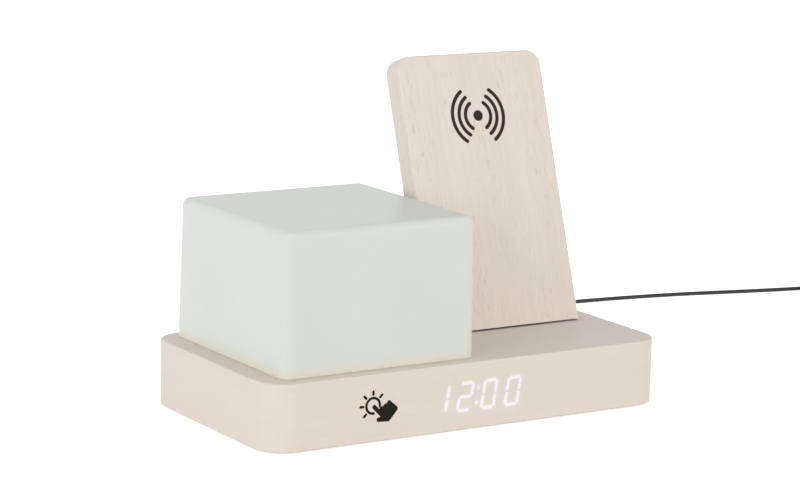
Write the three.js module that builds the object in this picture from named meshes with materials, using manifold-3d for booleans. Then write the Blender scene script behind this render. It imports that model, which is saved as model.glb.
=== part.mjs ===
// Night light alarm clock: a low base in pale wood film with an LED clock behind its front, a frosted
// lamp cube on its left and a leaning stand on its right that charges a phone.
// Millimetres, +Z up, front towards -Y. The origin is the centre of the footprint, under the feet.

import * as THREE from "three";
import { mergeVertices } from "three/addons/utils/BufferGeometryUtils.js";
import Module from "manifold-3d";

const wasm = await Module();
wasm.setup();

// Fits and roundness shared by all pieces
const clearance = 0.3;
const overrun = 1;
const cornerSteps = 5;
const fineCornerSteps = 2;
const filletSteps = 3;
const roundSides = 20;
const smallSides = 10;
const fullTurn = Math.PI * 2;
const quarterTurn = Math.PI / 2;

// Base housing, with the posts that its cover is screwed to
const baseHeight = 29;
const baseCornerRadius = 13.6;
const baseEdge = 0.7;
const baseWall = 3.2;
const roofThickness = 3;
const postRadius = 3.2;
const postInset = 10.5;

// Bottom cover, feet and sound holes
const coverInset = 0.6;
const coverThickness = 2.4;
const footDrop = 0.8;
const footRadius = 6.5;
const footEdge = 0.4;
const footRecess = 0.8;
const footInset = 24;
const soundHoleRadius = 0.9;
const soundRingRadius = 3.6;
const soundHoleCount = 6;

// Screws: one small screw is used all over, in several lengths
const screwHeadRadius = 2.4;
const screwHeadHeight = 1.2;
const screwShankRadius = 1.1;
const coverScrewLength = 9;
const trayScrewLength = 7;
const bracketScrewLength = 4.6;
const standScrewLength = 6;

// Lamp: shade, tray and board
const shadeWidth = 94.4;
const shadeDepth = 94.8;
const shadeHeight = 61.4;
const shadeTaper = 1.4;
const shadeCornerRadius = 4.8;
const shadeFillet = 3.4;
const shadeWall = 2.4;
const shadeLeftMargin = 9.8;
const shadeFrontMargin = 6.3;
const shadeBackMargin = 4.3;
const shadeOverlap = 8;
const lampOpeningRadius = 5;
const spigotWall = 2;
const shadeBossRadius = 3;
const shadeBossMargin = 0.9;
const shadeBossHeight = 9;
const trayLap = 3.5;
const trayThickness = 2;
const trayCornerRadius = 5;
const lampBoardMargin = 10;
const lampBoardRadius = 3;
const boardThickness = 1.6;
const ledSize = 5;
const ledHeight = 1.2;
const ledRows = 3;
const leadHoleRadius = 2.2;

// Charging stand: shell, cover and what they hold
const standWidth = 76.5;
const standLength = 124.2;
const standLean = THREE.MathUtils.degToRad(18.32);
const standGap = 0.8;
const standCornerRadius = 7;
const standEdge = 0.7;
const standRightMargin = 11.7;
const lampToStand = 7.6;
const standFrontMargin = 48.2;
const standWall = 2.6;
const standFrontWall = 2.4;
const standCoverThickness = 2;
const standCoverLedge = 1.4;
const standScrewInset = 8.25;
const standScrewRise = 10;
const standBossRadius = 3;
const tabWidth = 8;
const tabThickness = 1.2;
const tabReach = 1.2;
const tabDepth = 2.4;
const tabSpread = 20;
const standBackGap = 0.8;
const coilInnerRadius = 10;
const coilTurns = 7;
const coilPitch = 1.6;
const coilWire = 1.1;
const coilSides = 4;
const coilStepsPerTurn = 16;
const ferriteSize = 48;
const ferriteThickness = 1;
const chargerBoardWidth = 46;
const chargerBoardLength = 58;
const chargerChipSize = 9;
const chargerChipHeight = 1.4;

// Steel bracket that carries the stand, and the lead that feeds it
const bracketThickness = 1.5;
const bracketBossHeight = 1.6;
const bracketLegRise = 34;
const bracketFootLength = 20;
const bracketPadDrop = 3;
const bracketPadMargin = 4;
const bracketScrewInset = 5;
const bracketLegScrewRise = 24;
const bracketFootScrewReach = 13;
const standLeadRadius = 0.9;
const standLeadPlane = 6.5;
const standLeadFromScrew = 5;
const leadFromBoardEdge = 2.3;
const standLeadSteps = 30;
const standLeadSides = 6;

// Clock display behind the front, and the touch pad beside it
const displayOffset = 1.2;
const digitCount = 4;
const digitPitch = 12.1;
const digitWidth = 7;
const digitMargin = 8;
const digitSlant = THREE.MathUtils.degToRad(8);
const segmentThickness = 1.5;
const segmentGap = 0.4;
const colonRadius = 0.8;
const colonSpread = 6.2;
const reflectorSideMargin = 4.35;
const reflectorEndMargin = 2.8;
const reflectorDepth = 6;
const windowSkin = 0.8;
const displayBoardMargin = 4;
const displayPostFromReflector = 5;
const displayBoardLap = 5;
const displayPostRadius = 3;
const touchOffset = 48.5;
const touchPadRadius = 7;
const touchPadThickness = 0.8;
const touchSkin = 1.2;

// Main board and what stands on it
const mainBoardWidth = 104;
const mainBoardDepth = 34;
const mainBoardRightMargin = 18;
const mainBoardBackMargin = 5;
const standoffHeight = 3.2;
const standoffRadius = 3;
const standoffInset = 4;
const clockChipSize = 10;
const clockChipHeight = 1.5;
const clockChipSide = 22;
const cellRadius = 10;
const cellThickness = 3.2;
const cellHolderWidth = 25;
const cellHolderDepth = 22.4;
const cellHolderHeight = 3.8;
const cellHolderFloor = 0.8;
const cellFromBoardEdge = 9.5;
const buzzerRadius = 7;
const buzzerHeight = 5;
const buzzerBesideBoardMiddle = 10;
const buzzerBeforeBoard = 28.5;

// Rear panel with its socket and three push buttons
const panelHeight = 11.4;
const panelCornerRadius = 2;
const panelRightMargin = 18.8;
const panelThickness = 2;
const panelLip = 2;
const panelLipThickness = 1.2;
const buttonCount = 3;
const buttonPitch = 14;
const buttonWidth = 9;
const buttonHeight = 4.6;
const buttonSideFlat = 0.2;
const buttonProud = 1;
const buttonLip = 1;
const buttonLipThickness = 1.5;
const buttonTravel = 0.5;
const lastButtonFromEdge = 12;
const socketToButtons = 19.2;
const switchWidth = 6;
const switchDepth = 4;
const plungerRadius = 1.6;
const plungerLength = 2.7;
const socketDepth = 8;
const socketWall = 0.4;
const socketFromEdge = 15.2;

// Supply cord: its plugs, its route and its coil
const cordRadius = 1;
const cordSides = 8;
const cordSteps = 72;
const inletTongueWidth = 8.3;
const inletTongueHeight = 2.4;
const inletTongueLength = 6.4;
const inletTongueRadius = 0.9;
const inletGripWidth = 11;
const inletGripHeight = 6;
const inletGripLength = 15;
const reliefLength = 12;
const reliefEndRadius = 1.7;
const reliefGrooves = 4;
const reliefGrooveDepth = 0.35;
const farTongueWidth = 12;
const farTongueHeight = 4.5;
const farTongueLength = 12;
const farTongueWall = 0.4;
const farGripWidth = 15.4;
const farGripHeight = 7.6;
const farGripLength = 22;
const gripCornerRadius = 2;
const neckRoundShare = 0.9;
const coilCentreX = 331;
const coilCentreY = 92.9;
const coilEntryAngle = THREE.MathUtils.degToRad(75);
const coilMeanRadius = 10.7;
const coilLayers = 4;
const coilTurnsPerLayer = 3;
const cordPitch = 2.45;
const climbTurns = 0.5;
const windingSteps = 20;
const windingSides = 6;
const tailFlat = 6;
const tailFall = 22;
const tailSteps = 8;
const tieWidth = 3;
const tieThickness = 0.4;

// Points of the free stretch of cord, from the plug to the coil
const cordRoute = [
  [22, 79.1, 10.5],
  [22, 83, 10.5],
  [22.4, 92, 8.3],
  [24.8, 102, 4.2],
  [30.5, 112.5, 1.7],
  [42, 123.4, 1.1],
  [60, 131.4, 1.1],
  [85, 136.4, 1.1],
  [115, 138.9, 1.1],
  [150, 139.2, 1.1],
  [191.6, 137.3, 1.1],
  [216.6, 134.6, 1.1],
  [247.9, 129.3, 1.1],
  [284, 120.5, 1.1],
  [305, 115, 1.2],
  [317.5, 111.6, 1.4],
];

// Sizes, levels and planes that follow from the sizes above
const baseWidth = shadeLeftMargin + shadeWidth + lampToStand + standWidth + standRightMargin;
const baseDepth = shadeFrontMargin + shadeDepth + shadeBackMargin;
const lampOpening = Math.min(shadeWidth, shadeDepth) - 2 * shadeOverlap;
const lampBoardSize = lampOpening - 2 * lampBoardMargin;
const ledPitch = lampBoardSize / ledRows;
const buttonSpread = (buttonCount - 1) * buttonPitch;
const panelWidth = socketFromEdge + socketToButtons + buttonSpread + lastButtonFromEdge;
const baseBottom = footDrop;
const baseTop = baseBottom + baseHeight;
const roofUnder = baseTop - roofThickness;
const frontFace = -baseDepth / 2;
const innerFront = frontFace + baseWall;
const backFace = baseDepth / 2;
const innerBack = backFace - baseWall;
const coverBottom = baseBottom + coverInset;
const coverTop = coverBottom + coverThickness;
const middleHeight = baseBottom + baseHeight / 2;
const digitHeight = baseHeight - 2 * digitMargin;
const reflectorWidth = (digitCount - 1) * digitPitch + digitWidth + 2 * reflectorSideMargin;
const reflectorHeight = digitHeight + 2 * reflectorEndMargin;
const displayPostSpread = reflectorWidth + 2 * displayPostFromReflector;
const displayBoardWidth = displayPostSpread + 2 * displayBoardLap;
const displayBoardHeight = baseHeight - 2 * displayBoardMargin;
const shadeX = -baseWidth / 2 + shadeLeftMargin + shadeWidth / 2;
const shadeY = frontFace + shadeFrontMargin + shadeDepth / 2;
const standX = baseWidth / 2 - standRightMargin - standWidth / 2;
const standY = frontFace + standFrontMargin;
const standBottom = baseTop + standGap;
const standScrewSide = standWidth / 2 - standScrewInset;
const standLeadSide = standScrewSide - standLeadFromScrew;
const bracketWidth = standScrewSide;
const bracketScrewSpread = bracketWidth - 2 * bracketScrewInset;
const chargerTopMargin = standWall + tabThickness + 3 * clearance;
const chargerRise = standLength - ferriteSize / 2 - chargerTopMargin;
const coilDepth = standFrontWall + clearance + coilWire / 2;
const ferriteDepth = coilDepth + coilWire / 2 + clearance + ferriteThickness / 2;
const chargerBoardDepth = ferriteDepth + ferriteThickness / 2 + clearance;
const chargerBoardRise = chargerRise + ferriteSize / 2 - chargerBoardLength / 2;
const standInnerDepth = chargerBoardDepth + boardThickness + chargerChipHeight + standBackGap;
const standThickness = standInnerDepth + standCoverThickness;
const spigotSize = lampOpening - 2 * clearance;
const shadeBossReach = spigotSize / 2 - shadeBossRadius - shadeBossMargin;
const traySize = lampOpening + 2 * trayLap;
const trayBottom = roofUnder - trayThickness;
const mainBoardRight = baseWidth / 2 - mainBoardRightMargin;
const mainBoardX = mainBoardRight - mainBoardWidth / 2;
const mainBoardBack = innerBack - mainBoardBackMargin;
const mainBoardY = mainBoardBack - mainBoardDepth / 2;
const mainBoardBottom = coverTop + standoffHeight;
const mainBoardTop = mainBoardBottom + boardThickness;
const cellX = mainBoardX - mainBoardWidth / 2 + cellFromBoardEdge + cellHolderWidth / 2;
const buzzerX = mainBoardX - buzzerBesideBoardMiddle;
const buzzerY = mainBoardY - mainBoardDepth / 2 - buzzerBeforeBoard;
const panelX = baseWidth / 2 - panelRightMargin - panelWidth / 2;
const panelZ = coverTop + clearance + panelLip + panelHeight / 2;
const panelFront = innerBack - panelLipThickness;
const panelBack = innerBack + panelThickness;
const socketWidth = inletTongueWidth + 2 * (socketWall + clearance);
const socketHeight = inletTongueHeight + 2 * (socketWall + clearance);
const socketX = panelX - panelWidth / 2 + socketFromEdge;
const socketZ = mainBoardTop + socketHeight / 2;
const buttonCornerRadius = (buttonHeight - buttonSideFlat) / 2;
const screwHoleRadius = screwShankRadius + clearance;
const boardScrewLength = boardThickness + standoffHeight - 2 * clearance;

// Materials
const woodFilm = finish(0xe3d6c8, 0.55, 0);
const frosted = finish(0xd9dfd8, 0.4, 0);
const darkPlastic = finish(0x3a3733, 0.6, 0);
const palePlastic = finish(0xe6e3dc, 0.55, 0);
const blackRubber = finish(0x1c1c1c, 0.85, 0);
const blackCord = finish(0x161616, 0.45, 0);
const circuitBoard = finish(0x2f5d3a, 0.5, 0);
const chipPlastic = finish(0x202022, 0.5, 0);
const steel = finish(0xb9bcc0, 0.35, 1);
const copper = finish(0xb87342, 0.35, 1);
const ferrite = finish(0x45444a, 0.8, 0);

function finish(color, roughness, metalness) {
  return new THREE.MeshStandardMaterial({ color, roughness, metalness });
}

// Points of a rounded rectangle, anticlockwise. With no radius it has its four corners.
function roundedPoints(width, height, radius, x = 0, y = 0, steps = cornerSteps) {
  const points = [];
  for (let corner = 0; corner < 4; corner += 1) {
    const right = corner === 0 || corner === 3 ? 1 : -1;
    const up = corner < 2 ? 1 : -1;
    const count = radius > 0 ? steps : 0;
    for (let step = 0; step <= count; step += 1) {
      const angle = (corner + (count ? step / count : 0)) * quarterTurn;
      points.push(new THREE.Vector2(
        x + right * (width / 2 - radius) + radius * Math.cos(angle),
        y + up * (height / 2 - radius) + radius * Math.sin(angle),
      ));
    }
  }
  return points;
}

function circlePoints(radius, sides, x = 0, y = 0) {
  return Array.from({ length: sides }, (_, side) => {
    const angle = (side / sides) * fullTurn;
    return new THREE.Vector2(x + radius * Math.cos(angle), y + radius * Math.sin(angle));
  });
}

function atHeight(points, z) {
  return points.map((point) => new THREE.Vector3(point.x, point.y, z));
}

// A closed skin through rings of equally many points, with a flat cap on each end
function loft(rings) {
  const count = rings[0].length;
  const faces = [];
  for (let ring = 0; ring < rings.length - 1; ring += 1) {
    for (let side = 0; side < count; side += 1) {
      const here = ring * count + side;
      const next = ring * count + ((side + 1) % count);
      faces.push(here, next, next + count, here, next + count, here + count);
    }
  }
  const last = (rings.length - 1) * count;
  for (let side = 1; side < count - 1; side += 1) {
    faces.push(0, side + 1, side);
    faces.push(last, last + side, last + side + 1);
  }
  const geometry = new THREE.BufferGeometry().setFromPoints(rings.flat());
  geometry.setIndex(faces);
  return geometry;
}

// Rounded rectangles stacked along Z: each level is [height, inset from the full outline]
function stack(width, depth, radius, levels) {
  return loft(levels.map(([z, inset]) => atHeight(
    roundedPoints(width - 2 * inset, depth - 2 * inset, Math.max(radius - inset, clearance)),
    z,
  )));
}

// Circles stacked along Z: each level is [height, radius]
function turned(levels, sides) {
  return loft(levels.map(([z, radius]) => atHeight(circlePoints(radius, sides), z)));
}

// A flat outline with a thickness along Z, along Y (outline in X and Z), or along X (outline in Y and Z)
function slab(points, low, high) {
  const depth = high - low;
  const shape = new THREE.Shape(points);
  return new THREE.ExtrudeGeometry(shape, { depth, bevelEnabled: false }).translate(0, 0, low);
}

function slabAlongY(points, front, back) {
  return slab(points, -back, -front).rotateX(quarterTurn);
}

function slabAlongX(points, left, right) {
  return slab(points, left, right).rotateX(quarterTurn).rotateZ(quarterTurn);
}

function rod(radius, low, high, x, y, sides = smallSides) {
  return slab(circlePoints(radius, sides, x, y), low, high);
}

function rodAlongY(radius, front, back, x, z, sides = smallSides) {
  return slabAlongY(circlePoints(radius, sides, x, z), front, back);
}

function block(width, depth, height, x, y, bottom) {
  return new THREE.BoxGeometry(width, depth, height).translate(x, y, bottom + height / 2);
}

// Boolean joins and cuts
function toSolid(geometry) {
  const plain = geometry.clone();
  plain.deleteAttribute("normal");
  plain.deleteAttribute("uv");
  const merged = mergeVertices(plain);
  return new wasm.Manifold(new wasm.Mesh({
    numProp: 3,
    vertProperties: Float32Array.from(merged.attributes.position.array),
    triVerts: Uint32Array.from(merged.index.array),
  }));
}

function toGeometry(solid) {
  const mesh = solid.getMesh();
  const geometry = new THREE.BufferGeometry();
  geometry.setAttribute("position", new THREE.BufferAttribute(mesh.vertProperties, mesh.numProp));
  geometry.setIndex(new THREE.BufferAttribute(mesh.triVerts, 1));
  return geometry;
}

function join(body, additions) {
  return toGeometry(additions.reduce((solid, piece) => solid.add(toSolid(piece)), toSolid(body)));
}

function cut(body, tools) {
  return toGeometry(tools.reduce((solid, tool) => solid.subtract(toSolid(tool)), toSolid(body)));
}

function addPiece(parent, name, geometry, material, x = 0, y = 0, z = 0) {
  const mesh = new THREE.Mesh(geometry, material);
  mesh.name = name;
  mesh.position.set(x, y, z);
  parent.add(mesh);
  return mesh;
}

// The four places around a centre, named by side
function fourPlaces(x, y, reachX, reachY) {
  return [
    ["front_left", x - reachX, y - reachY],
    ["front_right", x + reachX, y - reachY],
    ["back_right", x + reachX, y + reachY],
    ["back_left", x - reachX, y + reachY],
  ];
}

const postPlaces = fourPlaces(0, 0, baseWidth / 2 - postInset, baseDepth / 2 - postInset);
const footPlaces = fourPlaces(0, 0, baseWidth / 2 - footInset, baseDepth / 2 - footInset);
const trayScrewPlaces = fourPlaces(shadeX, shadeY, shadeBossReach, shadeBossReach);
const standoffPlaces = fourPlaces(
  mainBoardX,
  mainBoardY,
  mainBoardWidth / 2 - standoffInset,
  mainBoardDepth / 2 - standoffInset,
);

// A pan-head screw that stands on its head
function screw(length) {
  return turned([
    [0, screwHeadRadius],
    [screwHeadHeight, screwHeadRadius],
    [screwHeadHeight, screwShankRadius],
    [screwHeadHeight + length, screwShankRadius],
  ], smallSides);
}

// Where a point of the leaning stand lies in Y and Z, from its depth and its rise along the plate
function leaning(depth, rise) {
  return new THREE.Vector2(
    standY + depth * Math.cos(standLean) + rise * Math.sin(standLean),
    standBottom - depth * Math.sin(standLean) + rise * Math.cos(standLean),
  );
}

// How far along the plate a plane of the stand crosses a level of the base
function riseAtLevel(depth, level) {
  return (level - standBottom + depth * Math.sin(standLean)) / Math.cos(standLean);
}

const bracketPlane = standFrontWall + bracketBossHeight + clearance + bracketThickness / 2;
const padUnder = roofUnder - bracketPadDrop;
const bracketHalfWay = bracketThickness / 2 / Math.cos(standLean) + clearance;
const bracketUnderside = riseAtLevel(bracketPlane, padUnder - bracketThickness);
const slotFront = leaning(bracketPlane, bracketUnderside).x - bracketHalfWay;
const slotBack = leaning(bracketPlane, riseAtLevel(bracketPlane, baseTop)).x + bracketHalfWay;
const bracketBendY = leaning(bracketPlane, riseAtLevel(bracketPlane, padUnder - bracketThickness / 2)).x;
const footScrewY = bracketBendY + bracketFootScrewReach;
const leadHoleX = standX + standLeadSide;
const leadHoleY = leaning(standLeadPlane, riseAtLevel(standLeadPlane, roofUnder + roofThickness / 2)).x;

// Base housing: a hollow moulding, open below, with a thin window for the display and one for the touch pad
function makeBaseHousing() {
  const outside = stack(baseWidth, baseDepth, baseCornerRadius, [
    [baseBottom, baseEdge],
    [baseBottom + baseEdge, 0],
    [baseTop - baseEdge, 0],
    [baseTop, baseEdge],
  ]);
  const hollow = stack(baseWidth, baseDepth, baseCornerRadius, [
    [baseBottom - overrun, baseWall],
    [roofUnder, baseWall],
  ]);
  const posts = postPlaces.map(([, x, y]) => rod(postRadius, coverTop, roofUnder + overrun, x, y));
  const postHoles = postPlaces.map(([, x, y]) => rod(
    screwHoleRadius,
    coverTop - overrun,
    coverTop + coverScrewLength,
    x,
    y,
  ));
  const displayPosts = [-1, 1].map((side) => rodAlongY(
    displayPostRadius,
    innerFront - overrun,
    displayBoardFront,
    displayOffset + side * displayPostSpread / 2,
    middleHeight,
  ));
  const displayPostHoles = [-1, 1].map((side) => rodAlongY(
    screwHoleRadius,
    displayBoardFront - boardScrewLength,
    displayBoardFront + overrun,
    displayOffset + side * displayPostSpread / 2,
    middleHeight,
  ));
  const padDepth = slotBack - slotFront + bracketFootLength + bracketPadMargin;
  const pad = block(
    bracketWidth + 2 * bracketPadMargin,
    padDepth,
    bracketPadDrop + overrun,
    standX,
    slotFront - bracketPadMargin + padDepth / 2,
    padUnder,
  );
  const padHoles = [-1, 1].map((side) => rod(
    screwHoleRadius,
    padUnder - overrun,
    padUnder + bracketScrewLength,
    standX + side * bracketScrewSpread / 2,
    footScrewY,
  ));
  const lampHole = slab(
    roundedPoints(lampOpening, lampOpening, lampOpeningRadius, shadeX, shadeY),
    roofUnder - overrun,
    baseTop + overrun,
  );
  const bracketSlot = block(
    bracketWidth + 2 * clearance,
    slotBack - slotFront,
    baseTop - padUnder + 2 * overrun,
    standX,
    (slotBack + slotFront) / 2,
    padUnder - overrun,
  );
  const leadHole = rod(leadHoleRadius, padUnder - overrun, baseTop + overrun, leadHoleX, leadHoleY);
  const windowWidth = reflectorWidth + 2 * clearance;
  const windowHeight = reflectorHeight + 2 * clearance;
  const window = slabAlongY(
    roundedPoints(windowWidth, windowHeight, 0, displayOffset, middleHeight),
    frontFace + windowSkin,
    innerFront + overrun,
  );
  const touchWindow = rodAlongY(
    touchPadRadius + clearance,
    frontFace + touchSkin,
    innerFront + overrun,
    -touchOffset,
    middleHeight,
    roundSides,
  );
  const rearOpening = slabAlongY(
    roundedPoints(
      panelWidth + 2 * clearance,
      panelHeight + 2 * clearance,
      panelCornerRadius + clearance,
      panelX,
      panelZ,
      fineCornerSteps,
    ),
    innerBack - overrun,
    backFace + overrun,
  );
  const trayRoom = stack(traySize, traySize, trayCornerRadius, [
    [trayBottom - clearance, -clearance],
    [roofUnder, -clearance],
  ]).translate(shadeX, shadeY, 0);
  const shell = join(cut(outside, [hollow]), [...posts, ...displayPosts, pad]);
  return cut(shell, [
    trayRoom,
    ...postHoles,
    ...displayPostHoles,
    ...padHoles,
    lampHole,
    bracketSlot,
    leadHole,
    window,
    touchWindow,
    rearOpening,
  ]);
}

// Bottom cover: a plate inside the rim of the housing, with recesses for the feet and the screw heads
function makeBottomCover() {
  const plate = stack(baseWidth, baseDepth, baseCornerRadius, [
    [coverBottom, baseWall + clearance],
    [coverTop, baseWall + clearance],
  ]);
  const standoffs = standoffPlaces.map(
    ([, x, y]) => rod(standoffRadius, coverTop - overrun, mainBoardBottom, x, y),
  );
  const standoffHoles = standoffPlaces.map(
    ([, x, y]) => rod(screwHoleRadius, coverTop, mainBoardTop, x, y),
  );
  const recesses = footPlaces.map(([, x, y]) => rod(
    footRadius + clearance,
    coverBottom - overrun,
    coverBottom + footRecess,
    x,
    y,
    roundSides,
  ));
  const screwHoles = postPlaces.flatMap(([, x, y]) => [
    rod(screwHeadRadius + clearance, coverBottom - overrun, coverBottom + screwHeadHeight, x, y),
    rod(screwHoleRadius, coverBottom, coverTop + overrun, x, y),
  ]);
  const soundHoles = circlePoints(soundRingRadius, soundHoleCount, buzzerX, buzzerY).map((place) => rod(
    soundHoleRadius,
    coverBottom - overrun,
    coverTop + overrun,
    place.x,
    place.y,
  ));
  return cut(join(plate, standoffs), [...standoffHoles, ...recesses, ...screwHoles, ...soundHoles]);
}

function addBase(parent) {
  addPiece(parent, "base_housing", makeBaseHousing(), woodFilm);
  addPiece(parent, "bottom_cover", makeBottomCover(), darkPlastic);
  const footTop = coverBottom + footRecess - clearance;
  const foot = turned([
    [0, footRadius - footEdge],
    [footEdge, footRadius],
    [footTop, footRadius],
  ], roundSides);
  for (const [side, x, y] of footPlaces) {
    addPiece(parent, `foot_${side}`, foot, blackRubber, x, y);
  }
  const coverScrew = screw(coverScrewLength);
  for (const [side, x, y] of postPlaces) {
    addPiece(parent, `cover_screw_${side}`, coverScrew, steel, x, y, coverBottom);
  }
}

// Shade: a thin frosted cube, open below, with an inner lip, a spigot into the housing and four bosses
function makeShade() {
  const sideTop = shadeHeight - shadeFillet;
  const outerLevels = [[0, 0]];
  const innerLevels = [[-overrun, shadeWall], [0, shadeWall]];
  const innerFillet = Math.max(shadeFillet - shadeWall, clearance);
  const innerSideTop = shadeHeight - shadeWall - innerFillet;
  for (let step = 0; step <= filletSteps; step += 1) {
    const angle = (step / filletSteps) * quarterTurn;
    const taper = shadeTaper * sideTop / shadeHeight;
    const draw = 1 - Math.cos(angle);
    const rise = Math.sin(angle);
    outerLevels.push([sideTop + shadeFillet * rise, taper + shadeFillet * draw]);
    innerLevels.push([innerSideTop + innerFillet * rise, taper + shadeWall + innerFillet * draw]);
  }
  const shell = cut(
    stack(shadeWidth, shadeDepth, shadeCornerRadius, outerLevels),
    [stack(shadeWidth, shadeDepth, shadeCornerRadius, innerLevels)],
  );
  const lip = stack(shadeWidth, shadeDepth, shadeCornerRadius, [
    [0, shadeWall / 2],
    [shadeWall, shadeWall / 2],
  ]);
  const spigot = stack(spigotSize, spigotSize, lampOpeningRadius, [
    [clearance - roofThickness, 0],
    [shadeWall / 2, 0],
  ]);
  const throat = stack(spigotSize, spigotSize, lampOpeningRadius, [
    [-roofThickness - overrun, spigotWall],
    [shadeWall + overrun, spigotWall],
  ]);
  const places = fourPlaces(0, 0, shadeBossReach, shadeBossReach);
  const bosses = places.map(([, x, y]) => rod(shadeBossRadius, -roofThickness, shadeBossHeight, x, y));
  const bossHoles = places.map(([, x, y]) => rod(
    screwHoleRadius,
    -roofThickness - overrun,
    trayScrewLength - trayThickness - roofThickness + clearance,
    x,
    y,
  ));
  const floor = cut(join(lip, [spigot]), [throat]);
  return cut(join(shell, [floor, ...bosses]), bossHoles);
}

// Lamp board: one board with its LEDs soldered on
function makeLampBoard() {
  const board = stack(lampBoardSize, lampBoardSize, lampBoardRadius, [[0, 0], [boardThickness, 0]]);
  const leds = [];
  for (let row = 0; row < ledRows; row += 1) {
    for (let column = 0; column < ledRows; column += 1) {
      const x = (column - (ledRows - 1) / 2) * ledPitch;
      const y = (row - (ledRows - 1) / 2) * ledPitch;
      leds.push(block(ledSize, ledSize, ledHeight + boardThickness / 2, x, y, boardThickness / 2));
    }
  }
  return join(board, leds);
}

function makeLampTray() {
  const plate = stack(traySize, traySize, trayCornerRadius, [[0, 0], [trayThickness, 0]]);
  const holes = fourPlaces(0, 0, shadeBossReach, shadeBossReach).map(([, x, y]) => rod(
    screwHoleRadius,
    -overrun,
    trayThickness + overrun,
    x,
    y,
  ));
  return cut(plate, holes);
}

function addLamp(parent) {
  addPiece(parent, "lamp_shade", makeShade(), frosted, shadeX, shadeY, baseTop);
  addPiece(parent, "lamp_tray", makeLampTray(), palePlastic, shadeX, shadeY, trayBottom);
  addPiece(parent, "lamp_board", makeLampBoard(), palePlastic, shadeX, shadeY, roofUnder);
  const trayScrew = screw(trayScrewLength);
  for (const [side, x, y] of trayScrewPlaces) {
    addPiece(parent, `tray_screw_${side}`, trayScrew, steel, x, y, trayBottom - screwHeadHeight);
  }
}

// Outlines of the stand, seen square to its plate: the lower end runs on below, where it is cut level
function standOutline(inset) {
  const width = standWidth - 2 * inset;
  const bottom = -standThickness;
  const height = standLength - inset - bottom;
  const radius = Math.max(standCornerRadius - inset, clearance);
  return roundedPoints(width, height, radius, 0, bottom + height / 2);
}

// A solid of the stand's outline between levels, each [depth from the front face, inset]
function standSolid(levels) {
  const rings = levels.map(([depth, inset]) => atHeight(standOutline(inset), -depth));
  return loft(rings.reverse()).rotateX(quarterTurn);
}

// What lies below a level plane, seen from the leaning plate, at a height above the stand's lower end
function belowLevel(height) {
  const reach = standWidth + standLength;
  return block(reach, reach, reach, 0, 0, height - reach).rotateX(standLean);
}

const ledgeDepth = standInnerDepth - clearance;
const pocketTop = standLength - standWall;

function makeStandShell() {
  const outside = standSolid([
    [0, standEdge],
    [standEdge, 0],
    [standThickness - standEdge, 0],
    [standThickness, standEdge],
  ]);
  const pocket = cut(
    standSolid([[standFrontWall, standWall], [standThickness + overrun, standWall]]),
    [belowLevel(standWall)],
  );
  const rebateInset = standWall - standCoverLedge;
  const rebate = cut(
    standSolid([[ledgeDepth, rebateInset], [standThickness + overrun, rebateInset]]),
    [belowLevel(rebateInset)],
  );
  const bracketBosses = [-1, 1].map((side) => rodAlongY(
    standBossRadius,
    standFrontWall - overrun,
    standFrontWall + bracketBossHeight,
    side * bracketScrewSpread / 2,
    bracketLegScrewRise,
  ));
  const coverBosses = [-1, 1].map((side) => rodAlongY(
    standBossRadius,
    standFrontWall - overrun,
    ledgeDepth,
    side * standScrewSide,
    standScrewRise,
  ));
  const bracketHoles = [-1, 1].map((side) => rodAlongY(
    screwHoleRadius,
    bracketPlane + bracketThickness / 2 - bracketScrewLength,
    standThickness,
    side * bracketScrewSpread / 2,
    bracketLegScrewRise,
  ));
  const coverHoles = [-1, 1].map((side) => rodAlongY(
    screwHoleRadius,
    standThickness - screwHeadHeight - standScrewLength - clearance,
    standThickness,
    side * standScrewSide,
    standScrewRise,
  ));
  const notches = [-1, 1].map((side) => block(
    tabWidth + 2 * clearance,
    tabThickness + 2 * clearance,
    tabReach + overrun + clearance,
    side * tabSpread,
    ledgeDepth - tabDepth,
    pocketTop - overrun,
  ));
  const slot = block(
    bracketWidth + 2 * clearance,
    bracketThickness + 2 * clearance,
    2 * standThickness,
    0,
    bracketPlane,
    -standThickness,
  );
  const leadSlack = standLeadRadius + 2 * clearance;
  const leadHole = rod(leadSlack, -standThickness, standThickness, standLeadSide, standLeadPlane);
  const shell = join(cut(outside, [pocket, rebate, belowLevel(0)]), [...bracketBosses, ...coverBosses]);
  return cut(shell, [...bracketHoles, ...coverHoles, ...notches, slot, leadHole]);
}

// Stand cover: a flush plate with two tabs at its upper edge and two screws at its lower one
function makeStandCover() {
  const inset = standWall - standCoverLedge + clearance;
  const plate = cut(
    standSolid([[standInnerDepth, inset], [standThickness, inset]]),
    [belowLevel(inset)],
  );
  const neckTop = pocketTop - clearance;
  const tabs = [-1, 1].flatMap((side) => [
    block(
      tabWidth,
      tabDepth + clearance + tabThickness / 2 + overrun,
      tabThickness,
      side * tabSpread,
      standInnerDepth + overrun - (tabDepth + clearance + tabThickness / 2 + overrun) / 2,
      neckTop - tabThickness,
    ),
    block(
      tabWidth,
      tabThickness,
      tabThickness + clearance + tabReach,
      side * tabSpread,
      ledgeDepth - tabDepth,
      neckTop - tabThickness,
    ),
  ]);
  const holes = [-1, 1].flatMap((side) => [
    rodAlongY(
      screwHeadRadius + clearance,
      standThickness - screwHeadHeight - clearance,
      standThickness + overrun,
      side * standScrewSide,
      standScrewRise,
    ),
    rodAlongY(
      screwHoleRadius,
      standInnerDepth - overrun,
      standThickness + overrun,
      side * standScrewSide,
      standScrewRise,
    ),
  ]);
  return cut(join(plate, tabs), holes);
}

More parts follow.
